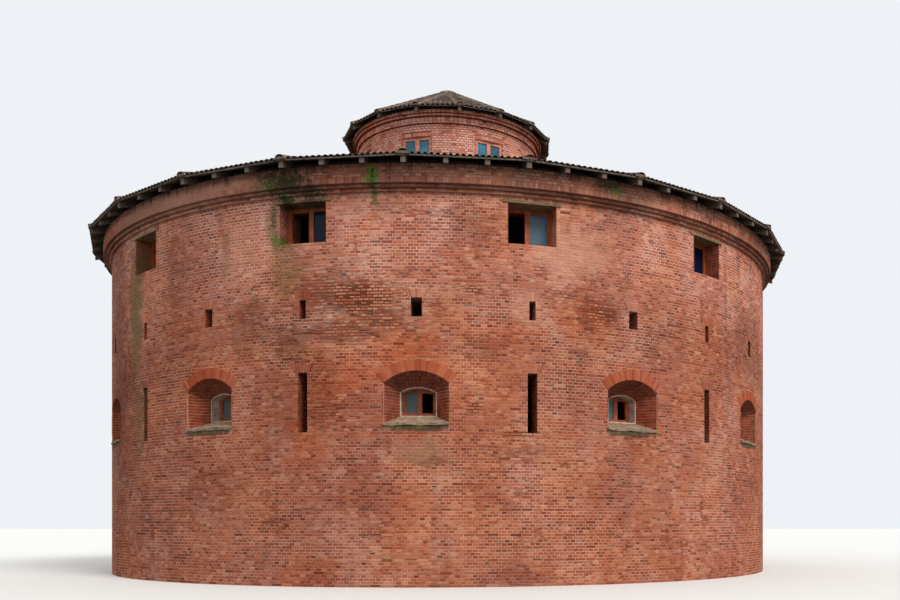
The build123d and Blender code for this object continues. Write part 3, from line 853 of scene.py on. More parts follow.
# Pale washed patches; the two at 10 m, on the frieze, are painted light
PALE_AND_PAINTED_LIGHT = [
    (20, 8.4, 7, 0.9, 0.55), (-24, 8.4, 5, 0.9, 0.3), (14, 6.9, 2.6, 0.5, 0.35),
    (0.5, 3.35, 6, 0.3, 0.3), (-36, 10, 16, 0.36, 0.85), (30, 10, 9, 0.34, 0.25),
]
# Orange round every arch, and under every sill damp with the sill's painted shadow, and moss,
# by their azimuth in the bay
BAY_ORANGE = [(0.0, 5.3, 6.2, 0.55, 0.5)]
BAY_DAMP_AND_SHADE = [(0.0, 3.92, 5.0, 0.11, 0.85)]
BAY_MOSS = [(-1.0, 3.94, 3.8, 0.08, 0.5)]
# The panes of the upper windows in which a reflection of the sky is painted
PAINTED_SKY_PANES = [(16.5, 9.0, 4.0, 2.0, 1.0), (-104.0, 9.0, 4.0, 2.0, 0.8), (136.0, 9.0, 4.0, 2.0, 0.9)]
# The ragged edges of broad stains and of painted light and shade, and of moss and twigs: gain,
# offset and noise
SOFTLY = (2.4, -1.2, 2.6, 8, 0.75)
FINELY = (5.0, -2.4, 12, 8, 0.8)
# Between which heights the lower wall's tint fades out, and how raggedly
FADE, FADE_RAGGED = (6.4, 8.8), 0.7
# The tints of the lower wall, the broad drifts and the drifts in hue, and of burnt and dun bricks
LOWER_TINT = ((0.8, 0.71, 0.63), (1, 1, 1))
BROAD_TINTS = ((0.9, 0.87, 0.85), (1.07, 1.05, 1.04))
HUE_TINTS = ((1.04, 0.95, 0.84), (0.99, 1.02, 1.12))
BURNT_TINT = (1.08, 0.74, 0.48)
DUN_TINT = (0.52, 0.44, 0.38)
# How dark the mortar is on the cornices, as soot and painted shade, and on the turret
SOOT_AND_SHADE_UNDER_CORNICES, ON_TURRET = 0.55, 0.3


def stained(f, base):
    """A wall's colour under its broad drifts, rain streaks, orange burn, damp, soot and moss,
    with painted shade under the sills and the eaves and painted light on the frieze.
    """
    c = bpy.context.scene.tower_colours
    wall = bpy.context.scene.tower_walls.radius
    soft, fine = f.ragged(*SOFTLY), f.ragged(*FINELY)
    lifted = f.add("Math", soft, FADE_RAGGED, f.height, **TIMES_PLUS)
    upper = f.add("MapRange", lifted, *FADE, **SMOOTH)
    shown = f.tinted(base, upper, *LOWER_TINT)
    shown = f.tinted(shown, f.drift(0.35, 0.65, 0.3, 6, 0.7), *BROAD_TINTS)
    shown = f.tinted(shown, f.drift(0.38, 0.62, 0.8, 6, 0.7), *HUE_TINTS)
    face = f.add("MapRange", f.reach, wall - 0.12, wall - 0.02, **SMOOTH)
    burnt, dun = f.patches(soft, ORANGE, BAY_ORANGE), f.patches(soft, DUN)
    for cover, tint in ((burnt, BURNT_TINT), (dun, DUN_TINT)):
        on_face = f.add("Math", cover, face, **TIMES)
        shown = f.add("Mix", on_face, shown, tint, **TINT)
    rain = f.drift(0.54, 0.72, 1.0, 5, end=0.25, stretch=(1.6, 1.6, 0.12))
    # Rain streaks, and the soot and painted shade under the eaves
    dirt_and_shade = f.add("Math", rain, eaves_soot_and_shade(f), **MOST)
    fresh = f.drift(0.4, 0.6, 7, 5, 0.7)
    moss = f.add("Mix", fresh, c.moss_dark, c.moss, **BLEND)
    for cover, rgb in (
        # Pale patches, with painted light on the frieze
        (f.patches(soft, PALE_AND_PAINTED_LIGHT), c.brick_pale),
        (f.patches(soft, OLIVE), c.olive),
        # Soot, the damp and painted shadow under each sill, and the eaves' soot and painted shade
        (f.patches(soft, SOOT, BAY_DAMP_AND_SHADE, dirt_and_shade), c.soot),
        (f.patches(fine, TWIGS), c.moss_dark),
        (f.patches(fine, MOSS, BAY_MOSS), moss),
    ):
        shown = f.add("Mix", cover, shown, rgb, **BLEND)
    return shown


def eaves_soot_and_shade(f):
    """How sooty the frieze and ledges are, with runs of dirt from between the rafters,
    and painted shade just under the eaves.
    """
    foot = bpy.context.scene.tower_walls.top
    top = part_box("main_cornice")[1].z
    low = f.add("MapRange", f.height, foot - 0.02, foot + 0.1, **SMOOTH)
    high = f.add("MapRange", f.height, top + 0.1, top + 0.2, 1.0, 0.0, **SMOOTH)
    band = f.add("Math", low, high, **TIMES)
    broad = f.drift(0.35, 0.62, 0.35, 5, start=0.05, end=0.45)
    runs = f.drift(0.48, 0.6, 4.5, 5, 0.7, stretch=(1, 1, 0.22))
    hung = f.add("MapRange", f.height, top - 0.42, top, **SMOOTH)
    marks = f.add("Math", runs, hung, **TIMES)
    # Painted shade under the eaves, darkest near the top of the cornice
    painted_eaves_shade = f.add("MapRange", f.height, top - 0.3, top - 0.05, 0.0, 0.6, **SMOOTH)
    dirt_and_shade = f.add("Math", f.add("Math", broad, marks, **MOST), painted_eaves_shade, **MOST)
    return f.add("Math", band, dirt_and_shade, **TIMES)


def toned(f, stops):
    """The colour of each laid piece, by its tone."""
    ramp = f.add("ValToRGB", f.add("Attribute", output="Fac", attribute_name="tone"))
    elements = ramp.node.color_ramp.elements
    while len(elements) < len(stops):
        elements.new(0.5)
    for element, (position, rgb) in zip(elements, stops):
        element.position = position
        element.color = opaque(rgb)
    return ramp


def brick_finish(name, stops):
    """Hand-moulded brick: each has its own burn and darkening (dust; painted shade on soffits),
    with a sandy grain, and weather with painted light and shade over all.
    """
    c = bpy.context.scene.tower_colours
    f = Finish(name, roughness=0.92, specular=0.25)
    # Tones up to 0.08 take the hollow colour: the painted shade of spalled bricks
    common = toned(f, [(0.0, c.hollow), (0.08, c.hollow), *stops])
    hard = f.add("Mix", 0.5, common, c.brick_orange, **BLEND)
    burn, dull = (f.add("Attribute", output="Fac", attribute_name=n) for n in ("burn", "dull"))
    burnt = f.add("Mix", burn, common, hard, **BLEND)
    # The dark mix stands for dust, and on the soffits for painted shade
    dust_and_shade_colour = f.add("Mix", 0.8, burnt, c.soot, **BLEND)
    base = f.add("Mix", dull, burnt, dust_and_shade_colour, **BLEND)
    sand = f.drift(0.3, 0.7, 38, 3)
    base = f.tinted(base, sand, (0.86, 0.84, 0.82), (1.09, 1.09, 1.09))
    f.carved(f.cloud(60, 5), strength=0.5, depth=0.004)
    return f.painted(stained(f, base))


def mortar_finish():
    """Lime mortar, dark between worn bricks and, as soot and painted shade, on the cornices,
    with courses drawn where no bricks are laid on it.
    """
    scene = bpy.context.scene
    c, walls = scene.tower_colours, scene.tower_walls
    f = Finish("lime_mortar_and_brick", roughness=0.95, specular=0.2)
    courses = f.add("Math", f.height, scene.tower_bricks.course, operation="DIVIDE")
    within = f.add("Math", courses, operation="FRACT")
    bed = f.add("MapRange", within, 0.06, 0.14, 1.0, 0.0, **SMOOTH)
    patchy = f.drift(0.35, 0.65, 5, 4)
    brick = f.add("Mix", patchy, c.brick_dark, c.brick_red, **BLEND)
    washed = f.drift(0.4, 0.62, 0.55, 4)
    lime = f.add("Mix", washed, c.mortar, c.mortar_pale, **BLEND)
    worn = f.patches(f.ragged(1.4, -0.7, 3.5, 6, 0.65), WORN)
    spots = f.drift(0.56, 0.66, 1.1, 7, 0.7, end=0.8)
    foot, top, wall = walls.turret_foot, walls.turret_top, walls.radius
    over = f.add("MapRange", f.height, walls.top - 0.02, walls.top + 0.02, **SMOOTH)
    out = f.add("MapRange", f.reach, wall - 0.1, wall - 0.05, **SMOOTH)
    over_turret = f.add("MapRange", f.height, top - 0.02, top + 0.02, **SMOOTH)
    cornices = f.add("Math", f.add("Math", over, out, **TIMES), over_turret, **MOST)
    # Soot and painted shade on the cornices' mortar
    cornice_soot_and_shade = f.add("Math", cornices, SOOT_AND_SHADE_UNDER_CORNICES, **TIMES)
    on_turret = f.add("MapRange", f.height, foot - 0.1, foot, 0.0, ON_TURRET, **SMOOTH)
    # Mortar goes dark where worn, in specks, on the turret, and on the cornices with painted shade
    deep = worn
    for cover in (spots, cornice_soot_and_shade, on_turret):
        deep = f.add("Math", deep, cover, **MOST)
    lime = f.add("Mix", deep, lime, c.mortar_dark, **BLEND)
    coursed = f.add("Mix", bed, brick, lime, **BLEND)
    on_face = f.add("MapRange", f.reach, wall - 0.012, wall - 0.004, **SMOOTH)
    faced = f.add("Mix", on_face, coursed, lime, **BLEND)
    crumbs = f.drift(0.3, 0.7, 30, 4)
    base = f.tinted(faced, crumbs, (0.8, 0.78, 0.76), (1.08, 1.08, 1.08))
    f.carved(f.cloud(45, 5), strength=0.5, depth=0.006)
    return f.painted(stained(f, base))


def timber_finish(name, light, dark, cut_ends=None, grown=()):
    """Softwood gone grey: long grain, pale at cut ends, or overgrown. Where it is sheltered, the
    colour it is given is already darkened as painted shade.
    """
    f = Finish(name, roughness=0.85, specular=0.25)
    grain = f.cloud(14, 6, 0.7, stretch=(1, 1, 2.4))
    striped = f.add("MapRange", grain, 0.3, 0.7, **SMOOTH)
    base = f.add("Mix", striped, dark, light, **BLEND)
    base = f.tinted(base, f.drift(0.35, 0.65, 1.3, 3), (0.75, 0.75, 0.75), (1.1, 1.08, 1.05))
    if cut_ends:
        low, high, rgb = cut_ends
        end = f.add("MapRange", f.reach, low, high, 0.0, 0.8, **SMOOTH)
        base = f.add("Mix", end, base, rgb, **BLEND)
    if grown:
        moss = bpy.context.scene.tower_colours.moss_dark
        cover = f.patches(f.ragged(*FINELY), grown)
        base = f.add("Mix", cover, base, moss, **BLEND)
    f.carved(grain, strength=0.4, depth=0.004)
    return f.painted(base)


def tile_finish():
    """Fired clay tile: each has its own shade, dulled in big patches by lichen and soot."""
    c = bpy.context.scene.tower_colours
    f = Finish("fired_clay_tile", roughness=0.85, specular=0.3)
    base = toned(f, [(0.0, c.tile_dark), (0.5, c.tile), (1.0, c.tile_pale)])
    lichen = f.drift(0.46, 0.66, 7, 6, 0.65, end=0.7)
    soot = f.drift(0.4, 0.62, 0.9, 5, 0.6, end=0.5)
    for cover in (lichen, soot):
        base = f.add("Mix", cover, base, c.tile_dark, **BLEND)
    f.carved(f.cloud(50, 4), strength=0.4, depth=0.004)
    return f.painted(base)


def plain_finish(name, base, roughness, scale, spread=0.12, grime=None):
    """A finish of one colour with soft drifts, a fine grain and, if asked, specks of grime."""
    f = Finish(name, roughness, specular=0.3)
    low, high = (1 - spread,) * 3, (1 + spread / 2,) * 3
    shown = f.tinted(base, f.drift(0.3, 0.7, scale, 5), low, high)
    if grime:
        specks = f.drift(0.5, 0.66, 3 * scale, 6, 0.7, end=0.8)
        shown = f.add("Mix", specks, shown, grime, **BLEND)
    f.carved(f.cloud(8 * scale, 4), strength=0.3, depth=0.003)
    return f.painted(shown)


def glass_finish(name, dark, light, bright_at=()):
    """Old drawn glass, faintly waved and dark within, with a painted reflection of the sky in the
    panes listed; elsewhere pale patches drift over the dark, on the turret as painted shade.
    """
    f = Finish(name, roughness=0.18, specular=0.15)
    if bright_at:
        # Painted reflection of the sky in the panes listed
        reflection_and_shade = f.patches(f.ragged(1.6, -0.8, 3, 3), bright_at)
    else:
        # Pale patches drift over the dark; on the turret the dark is a shaded copy: painted shade
        reflection_and_shade = f.drift(0.42, 0.62, 1.1, 5)
    f.carved(f.cloud(4, 2), strength=0.15, depth=0.01)
    return f.painted(f.add("Mix", reflection_and_shade, dark, light, **BLEND))


def dress(names, material):
    """Gives CAD nodes a finish."""
    for name in names:
        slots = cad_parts[name].data.materials
        slots.clear()
        slots.append(material)


def nodes_named(*starts):
    """The CAD nodes whose names start in one of these ways."""
    return [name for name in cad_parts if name.startswith(starts)]


def shaded(rgb, factor):
    """A colour made darker."""
    return tuple(c * factor for c in rgb)


class TOWER_OT_frame_finishes(bpy.types.Operator):
    """Give the walls, timbers, sills, plaster, joinery and glass their finishes"""

    bl_idname = "tower.frame_finishes"
    bl_label = "Finish Walls and Timbers"

    # How light the painted shade leaves the timber under the eaves and the turret's glass within
    SHADE = 0.6
    # Where the pale ends of the rafters begin and are palest, inside the eaves
    CUT_ENDS = (0.2, 0.05)

    def execute(self, context):
        c = context.scene.tower_colours
        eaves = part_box("main_roof_boards")[1].x
        cut_ends = (*(eaves - inside for inside in self.CUT_ENDS), c.end_grain)
        wood, dark = c.timber, c.timber_dark
        masonry = nodes_named("base_wall", "lower_wall", "upper_wall", "main_cornice", "core_")
        boards = ["main_roof_boards", "turret_roof_boards", "wall_plates", "turret_hub"]
        planks = timber_finish("sun_bleached_softwood", c.plank, c.plank_dark, grown=TWIGS)
        plaster = plain_finish("limewashed_plaster", c.plaster, 0.9, 5, 0.3, c.dun)
        bedding = plain_finish("bedding_mortar", c.bedding, 0.95, 8, 0.4, c.tile_dark)
        for finish, names in (
            (mortar_finish(), [*masonry, "turret_wall", "turret_cornice"]),
            (plain_finish("lime_screed", c.sill, 0.9, scale=1.5), ["lower_floor", "upper_floor"]),
            (timber_finish("sawn_softwood", wood, dark, cut_ends), ["main_rafters"]),
            (timber_finish("grey_softwood", wood, dark), ["turret_rafters", "eaves_boards"]),
            (planks, ["upper_window_lintels"]),
            # Boards and floors under the roofs take a darkened copy of the timber's colour: painted
            # shade
            (
                timber_finish("sheltered_softwood", shaded(wood, self.SHADE), dark),
                [*boards, "turret_floor"],
            ),
            (plain_finish("mortar_cap", c.sill, 0.9, 6, 0.3, c.moss_dark), ["embrasure_sills"]),
            (plaster, ["embrasure_linings"]),
            (bedding, ["turret_roof_cap"]),
        ):
            dress(names, finish)
        # The turret's glass within is a darkened copy of its colour: painted shade
        within = shaded(c.turret_glass, self.SHADE)
        for kind, paint, *glass in (
            ("embrasure", c.embrasure_paint, c.embrasure_glass, c.embrasure_glass),
            ("upper", c.window_paint, c.window_glass, c.window_glass_reflection, PAINTED_SKY_PANES),
            ("turret", c.turret_paint, within, c.turret_glass),
        ):
            painted = plain_finish(f"faded_{kind}_oil_paint", paint, 0.6, 7, 0.35)
            dress(nodes_named(f"{kind}_window_frames"), painted)
            finish = glass_finish(f"old_drawn_{kind}_glass", *glass)
            dress(nodes_named(f"{kind}_window_panes"), finish)
        return {"FINISHED"}


class TOWER_OT_embrasure_sills(bpy.types.Operator):
    """Spread the lumpy mortar of the arched openings' sills"""

    bl_idname = "tower.embrasure_sills"
    bl_label = "Spread Sill Mortar"

    cuts: count("Cuts", 13, "How finely each sill is divided")
    lump: length("Lump", 0.02, "Height of the lumps")
    nose: length("Nose", 0.03, "How far a sill stands out of the wall")

    # How fine the mortar's waves and its grit are, and how much grit counts on top and in front
    WAVES, GRIT, ON_TOP, IN_FRONT = 2.3, 9, 0.5, 0.6
    # The mean stand-out of a sill, as a share of its nose
    MEAN_NOSE = 0.7

    def execute(self, context):
        scene = context.scene
        walls, o = scene.tower_walls, scene.tower_openings
        shape = bmesh.new()
        bmesh.ops.create_cube(shape, size=1)
        bmesh.ops.subdivide_edges(shape, edges=shape.edges[:], cuts=self.cuts, use_grid_fill=True)
        points, faces = pattern_of(shape)
        places, all_faces = [], []
        for azimuth in bay_azimuths(walls):
            all_faces += [tuple(face + len(places)) for face in faces]
            places += [self.lumpy(walls, o, azimuth, point) for point in points]
        mesh = bpy.data.meshes.new("embrasure_sill_mortar")
        mesh.from_pydata(places, [], all_faces)
        piece = add_piece(mesh, bpy.data.materials["mortar_cap"])
        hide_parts("embrasure_sills")
        return {"FINISHED"}

    def lumpy(self, walls, o, azimuth, point):
        """A point of the unit slab, moved to its sill and up or down by the mortar's lumps."""
        x, y, z = point
        inward = y + 0.5
        width = o.mouth_width + (o.throat_width - o.mouth_width) * inward
        top = o.mouth_sill + (o.throat_sill - o.mouth_sill) * inward
        place = spot(azimuth, walls.radius - o.splay * inward, x * width)
        wave = noise.noise(Vector(place) * self.WAVES)
        rough = noise.noise(Vector(place) * self.GRIT + Vector((0, 0, z)))
        lump = self.lump * (wave + self.ON_TOP * rough)
        height = top - o.sill_thickness * (0.5 - z) + lump
        if inward == 0:
            out = self.MEAN_NOSE + wave + self.IN_FRONT * rough
            place = place + outward(azimuth) * self.nose * out
            height += self.IN_FRONT * self.lump * rough
        return place + UP * height


class TOWER_OT_main_bricks(bpy.types.Operator):
    """Lay the bricks of the main wall, bay by bay, with their arches and reveals"""

    bl_idname = "tower.main_bricks"
    bl_label = "Lay Main Wall"

    def execute(self, context):
        scene = context.scene
        walls, o, c = scene.tower_walls, scene.tower_openings, scene.tower_colours
        tones = ((0.14, c.brick_dark), (0.42, c.brick_red), (0.7, c.brick_salmon))
        material = brick_finish("hand_moulded_brick", [*tones, (1.0, c.brick_pale)])
        mouth = Segmental(o.mouth_width, o.mouth_springing, o.mouth_rise)
        throat = Segmental(o.throat_width, o.throat_springing, o.throat_rise)
        splayed = (mouth.half, throat.half, o.splay, o.throat_sill, o.throat_springing)
        for k, azimuth in enumerate(bay_azimuths(walls)):
            mason = Mason(walls.radius, k)
            mason.bay(walls, o, azimuth)
            mason.arch_ring(azimuth, mouth)
            mason.soffit(azimuth, mouth, throat, o.splay)
            mason.reveal(azimuth, *splayed, dull=0.15, bias=0.35)
            beside = azimuth + math.pi / walls.bays
            for centre, width, bottom, top in (
                (azimuth, o.wide_vent, o.vent_bottom, o.vent_top),
                (beside, o.narrow_vent, o.vent_bottom, o.vent_top),
                (beside, o.slit_width, o.slit_bottom, o.slit_top),
            ):
                straight = (width / 2, width / 2, o.loophole_depth, bottom, top)
                mason.fan(centre, width, top, o.fan_height)
                mason.reveal(centre, *straight, dull=0.1, bias=0.3)
            half = o.window_width / 2
            mason.reveal(beside, half, half, o.window_depth, o.window_bottom, o.window_top)
            half += o.lintel_bearing
            bricks = round(2 * half / mason.b.course)
            bed = o.window_top + o.lintel_thickness
            mason.row(*interval(beside, half, walls.radius), bricks, bed, walls.top - bed)
            mason.join(f"wall_bricks_{k + 1:02d}", material)
        return {"FINISHED"}


class TOWER_OT_cornice_bricks(bpy.types.Operator):
    """Lay the ledges and the frieze under the main eaves"""

    bl_idname = "tower.cornice_bricks"
    bl_label = "Lay Main Cornice"

    ledge_out: length("Ledge step", 0.08, "How much further each ledge stands out")
    frieze_out: length("Frieze stand-out", 0.25, "How far the frieze stands out")
    upright: length("Upright course", 0.14, "Height of the upright bricks at the frieze's foot")

    def execute(self, context):
        walls, b = context.scene.tower_walls, context.scene.tower_bricks
        headers = 2 * b.stretchers
        mason = Mason(walls.radius, CORNICE)
        for k in (1, 2):
            mason.radius = walls.radius + k * self.ledge_out
            mason.ring(walls.top + (k - 1) * b.course, b.course, headers)
        mason.radius = walls.radius + self.frieze_out
        foot = walls.top + 2 * b.course
        mason.ring(foot, self.upright, 2 * headers, bias=0.05)
        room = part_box("main_cornice")[1].z - foot - self.upright
        courses = round(room / b.course)
        height = room / courses
        for k in range(courses):
            bed = foot + self.upright + k * height
            mason.ring(bed, height, headers, bias=0.2, shift=0.5 * (k % 2))
        mason.join("cornice_bricks", bpy.data.materials["hand_moulded_brick"])
        return {"FINISHED"}


class TOWER_OT_turret_bricks(bpy.types.Operator):
    """Lay the turret's wall and cornice"""

    bl_idname = "tower.turret_bricks"
    bl_label = "Lay Turret"

    windows: count("Windows", 8, "Windows round the turret")
    head: length("Window head", 0.13, "Height of the upright bricks over a window")
    reveal: length("Reveal", 0.06, "Depth of the bricks in front of a window")

    # How far each ring of the cornice stands out, and its height
    RINGS = ((0.07, 0.08), (0.045, 0.13), (0.14, 0.08), (0.2, 0.11))

    def execute(self, context):
        scene = context.scene
        walls, b = scene.tower_walls, scene.tower_bricks
        o, c = scene.tower_openings, scene.tower_colours
        tones = ((0.14, c.brick_dark), (0.3, c.faded_dark), (0.65, c.brick_salmon))
        material = brick_finish("faded_hand_moulded_brick", [*tones, (1.0, c.faded_pale)])
        mason = Mason(walls.turret_radius, TURRET)
        half = o.turret_width / 2
        turn = 2 * math.pi / self.windows
        phase = walls.turret_window_phase
        centres = [(phase + turn * k) % (2 * math.pi) for k in range(self.windows)]
        windows = [interval(centre, half, mason.radius) for centre in centres]
        courses = round((walls.turret_top - walls.turret_foot) / b.course)
        height = (walls.turret_top - walls.turret_foot) / courses
        for k in range(courses):
            bed = walls.turret_foot + k * height
            is_open = o.turret_bottom < bed + height / 2 < o.turret_top + self.head
            bricks = 2 * b.turret_stretchers if k % b.cycle else b.turret_stretchers
            gaps = windows if is_open else ()
            mason.ring(bed, height, bricks, bias=0.3, gaps=gaps, shift=0.5 * (k % 2))
        bricks = round(o.turret_width / b.course)
        for centre, window in zip(centres, windows):
            mason.reveal(centre, half, half, self.reveal, o.turret_bottom, o.turret_top)
            mason.row(*window, bricks, o.turret_top, self.head, bias=0.1)
        bed = walls.turret_top
        for stand_out, rise in self.RINGS:
            mason.radius = walls.turret_radius + stand_out
            mason.ring(bed, rise, 2 * b.turret_stretchers, bias=0.27)
            bed += rise
        mason.join("turret_bricks", material)
        return {"FINISHED"}


class HippedRoof:
    """A many-sided roof: its flat faces and the lines up its hips, over one layer of tiles."""

    def __init__(self, node, sides, hip, slope, head):
        low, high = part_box(node)
        self.turn = 2 * math.pi / sides
        self.hip = hip
        self.slope = slope
        off_axis = (math.pi / 2 - hip) % self.turn
        self.corner = high.x / math.cos(min(off_axis, self.turn - off_axis))
        self.foot_height = low.z
        half = self.turn / 2
        self.eaves = self.corner * math.cos(half)
        self.half_eaves = self.corner * math.sin(half)
        self.pitch = math.atan(math.tan(slope) / math.cos(half))
        self.run = (self.eaves - head) / math.cos(self.pitch)
        self.hip_run = (self.corner - head) / math.cos(slope)

    def half_width(self, distance):
        """Half the width of a face at a distance up its slope."""
        return self.half_eaves * (1 - distance * math.cos(self.pitch) / self.eaves)

    def face(self, number, across, distance):
        """A place on a face, across from its middle and up its slope."""
        middle = self.hip + self.turn * (number + 0.5)
        reach = self.eaves - distance * math.cos(self.pitch)
        height = self.foot_height + distance * math.sin(self.pitch)
        return spot(middle, reach, across, height)

    def on_hip(self, number, distance):
        """A place on a hip at a distance up it."""
        reach = self.corner - distance * math.cos(self.slope)
        height = self.foot_height + distance * math.sin(self.slope)
        return spot(self.hip + self.turn * number, reach, 0, height)


def sloping(azimuth, pitch):
    """The directions along the eaves, up the slope and out of it."""
    out_level = outward(azimuth)
    up = UP * math.sin(pitch) - out_level * math.cos(pitch)
    out = UP * math.cos(pitch) + out_level * math.sin(pitch)
    return sideways(azimuth), up, out


class Tiler:
    """Lays the tiles of a roof, on its faces and up its hips."""

    # How far a tile's foot tilts out, in radians, and the spread of its skew and of its slips
    TILT, SKEW, SLIP_ACROSS, SLIP_UP = 0.03, 0.012, 0.003, 0.006
    # The mean tone of tiles and its spread, and how it drifts: by how much and how finely
    TONE, DRIFTS = (0.48, 0.17), ((0.35, 0.7), (0.2, 2.3))
    # The widths of a cover's and a pan's foot and head, as shares of the columns' spacing
    COVER, COVER_HEAD, PAN, PAN_HEAD = 0.7, 0.56, 0.86, 0.72
    # How flat a pan is against a cover
    PAN_RISE = 0.7
    # The head and height of a hip tile, and the width and taper of its mortar, in its own widths
    HIP_HEAD, HIP_RISE, BED, BED_TAPER = 0.8, 0.38, 1.5, -0.3

    def __init__(self, roof, seed):
        self.roof = roof
        self.tiles = bpy.context.scene.tower_tiles
        self.rng = np.random.default_rng(SEED + seed)
        self.covers, self.pans, self.edge = Laid(), Laid(), Laid()

    def tile(self, laid, foot, directions, size, narrow, lift):
        """One tile, a little askew, with its lower end lifted over the tile below."""
        rng = self.rng
        along, up, out = directions
        turned_up = up * math.cos(self.TILT) - out * math.sin(self.TILT)
        turned_out = out * math.cos(self.TILT) + up * math.sin(self.TILT)
        skew = rng.normal(0, self.SKEW)
        along_now = along * math.cos(skew) + turned_up * math.sin(skew)
        up_now = turned_up * math.cos(skew) - along * math.sin(skew)
        across, upward = rng.normal(0, self.SLIP_ACROSS), abs(rng.normal(0, self.SLIP_UP))
        place = foot + out * lift + along * across + up * upward
        tone = float(np.clip(rng.normal(*self.TONE) + drifting(foot, self.DRIFTS), 0, 1))
        laid.put(place, along_now, up_now, turned_out, size, tone, narrow - size[0])

    def face(self, number, columns):
        """The columns of tiles of one face, cut where they meet its hips."""
        tiles, roof = self.tiles, self.roof
        directions = sloping(roof.hip + roof.turn * (number + 0.5), roof.pitch)
        spacing = 2 * roof.half_eaves / columns
        highest = roof.run - tiles.tile_length
        size = (self.COVER * spacing, tiles.arch, tiles.tile_length)
        cover = size, self.COVER_HEAD * spacing, tiles.lift
        size = (self.PAN * spacing, self.PAN_RISE * tiles.arch, tiles.tile_length)
        pan = size, self.PAN_HEAD * spacing, tiles.lift / 2
        for row in range(math.ceil(highest / tiles.exposure) + 1):
            distance = min(tiles.edge + row * tiles.exposure, highest)
            room = roof.half_width(distance + tiles.tile_length / 2)
            covers = self.covers if row else self.edge
            for k in range(2 * columns + 1):
                across = (k - columns) * spacing / 2
                if abs(across) <= room:
                    laid, kind = (covers, cover) if k % 2 else (self.pans, pan)
                    self.tile(laid, roof.face(number, across, distance), directions, *kind)

    def join(self, name, node):
        """Joins the tiles of the faces, of which the covers stand for the CAD layer."""
        material = bpy.data.materials["fired_clay_tile"]
        covers = self.covers.mesh(f"{name}_covers", tile_pattern(steps=4), material, "clay_tile")
        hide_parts(node)
        pan = tile_pattern(steps=3, upside_down=True)
        self.pans.mesh(f"{name}_pans", pan, material, "clay_tile")
        self.edge.mesh(f"{name}_eaves", tile_pattern(steps=8, hollow=0.09), material, "clay_tile")

    def hips(self, name, width):
        """The row of large tiles up every hip, in its mortar."""
        tiles, roof = self.tiles, self.roof
        laid, bedding = Laid(), Laid()
        for number in range(round(2 * math.pi / roof.turn)):
            directions = sloping(roof.hip + roof.turn * number, roof.slope)
            distance = tiles.edge
            bed = (self.BED * width, tiles.arch + tiles.hip_lift, roof.hip_run - distance)
            foot = roof.on_hip(number, distance)
            bedding.put(foot, *directions, bed, 0.0, self.BED_TAPER * width)
            growth = tiles.hip_start
            while distance < roof.hip_run - 0.5 * tiles.hip_length:
                size = (width * growth, self.HIP_RISE * width * growth, tiles.hip_length)
                foot = roof.on_hip(number, distance)
                self.tile(laid, foot, directions, size, self.HIP_HEAD * width, tiles.hip_lift)
                distance += tiles.hip_exposure
                growth = 1.0
        clay, mortar = (bpy.data.materials[n] for n in ("fired_clay_tile", "bedding_mortar"))
        laid.mesh(f"{name}_hip_tiles", tile_pattern(steps=8, hollow=0.08), clay, "clay_tile")
        bedding.mesh(f"{name}_hip_mortar", tile_pattern(steps=6), mortar, "clay_tile")


class TOWER_OT_main_tiles(bpy.types.Operator):
    """Lay the half-round tiles and the hips of the main roof"""

    bl_idname = "tower.main_tiles"
    bl_label = "Lay Main Roof Tiles"

    sectors: count("Sectors", 6, "Pieces that the roof's tiles are joined into")
    faces: count("Faces", 24, "Faces of the roof")
    hip: angle("Hip", 13.75, "Azimuth of one of its hips")
    slope: angle("Slope", 18, "Slope of its hips")
    columns: count("Columns", 20, "Columns of tiles on one face at the eaves")
    hip_width: length("Hip tile width", 0.22, "Width of a hip tile")
    flashing: length("Flashing", 0.16, "How far up the turret the mortar fillet runs")

    # Half the height of the fillet's outer edge, which is also how much it waves, how many steps
    # it has round the turret, and how short its waves are
    UNEVEN, STEPS, WAVES = 0.03, 180, 4

    def execute(self, context):
        walls = context.scene.tower_walls
        tile_finish()
        node = "main_roof_tiles"
        roof = HippedRoof(node, self.faces, self.hip, self.slope, walls.turret_radius)
        per_sector = self.faces // self.sectors
        for sector in range(self.sectors):
            tiler = Tiler(roof, TILES + sector)
            for k in range(per_sector):
                tiler.face(sector * per_sector + k, self.columns)
            tiler.join(f"main_tiles_{sector + 1}", node)
        Tiler(roof, HIPS).hips("main", self.hip_width)
        self.make_flashing(walls, roof)
        return {"FINISHED"}

    def make_flashing(self, walls, roof):
        """The lumpy mortar fillet where the turret leaves the roof."""
        foot = roof.on_hip(0, roof.hip_run)[2]
        inner = walls.turret_radius - self.flashing / 8
        outer = walls.turret_radius + self.flashing
        low, high = foot - self.UNEVEN, foot + self.UNEVEN
        shape = bmesh.new()
        corners = [(inner, low), (outer, low), (outer, high), (inner, foot + self.flashing)]
        verts = [shape.verts.new((reach, 0, height)) for reach, height in corners]
        ring = [shape.edges.new((a, z)) for a, z in zip(verts, verts[1:] + verts[:1])]
        bmesh.ops.spin(
            shape, geom=verts + ring, axis=(0, 0, 1), cent=(0, 0, 0), angle=2 * math.pi,
            steps=self.STEPS, use_merge=True,
        )
        for v in shape.verts:
            v.co.z += self.UNEVEN * noise.noise(v.co * self.WAVES)
        bmesh.ops.recalc_face_normals(shape, faces=shape.faces)
        mesh = mesh_of("turret_flashing", shape)
        add_piece(mesh, bpy.data.materials["bedding_mortar"])


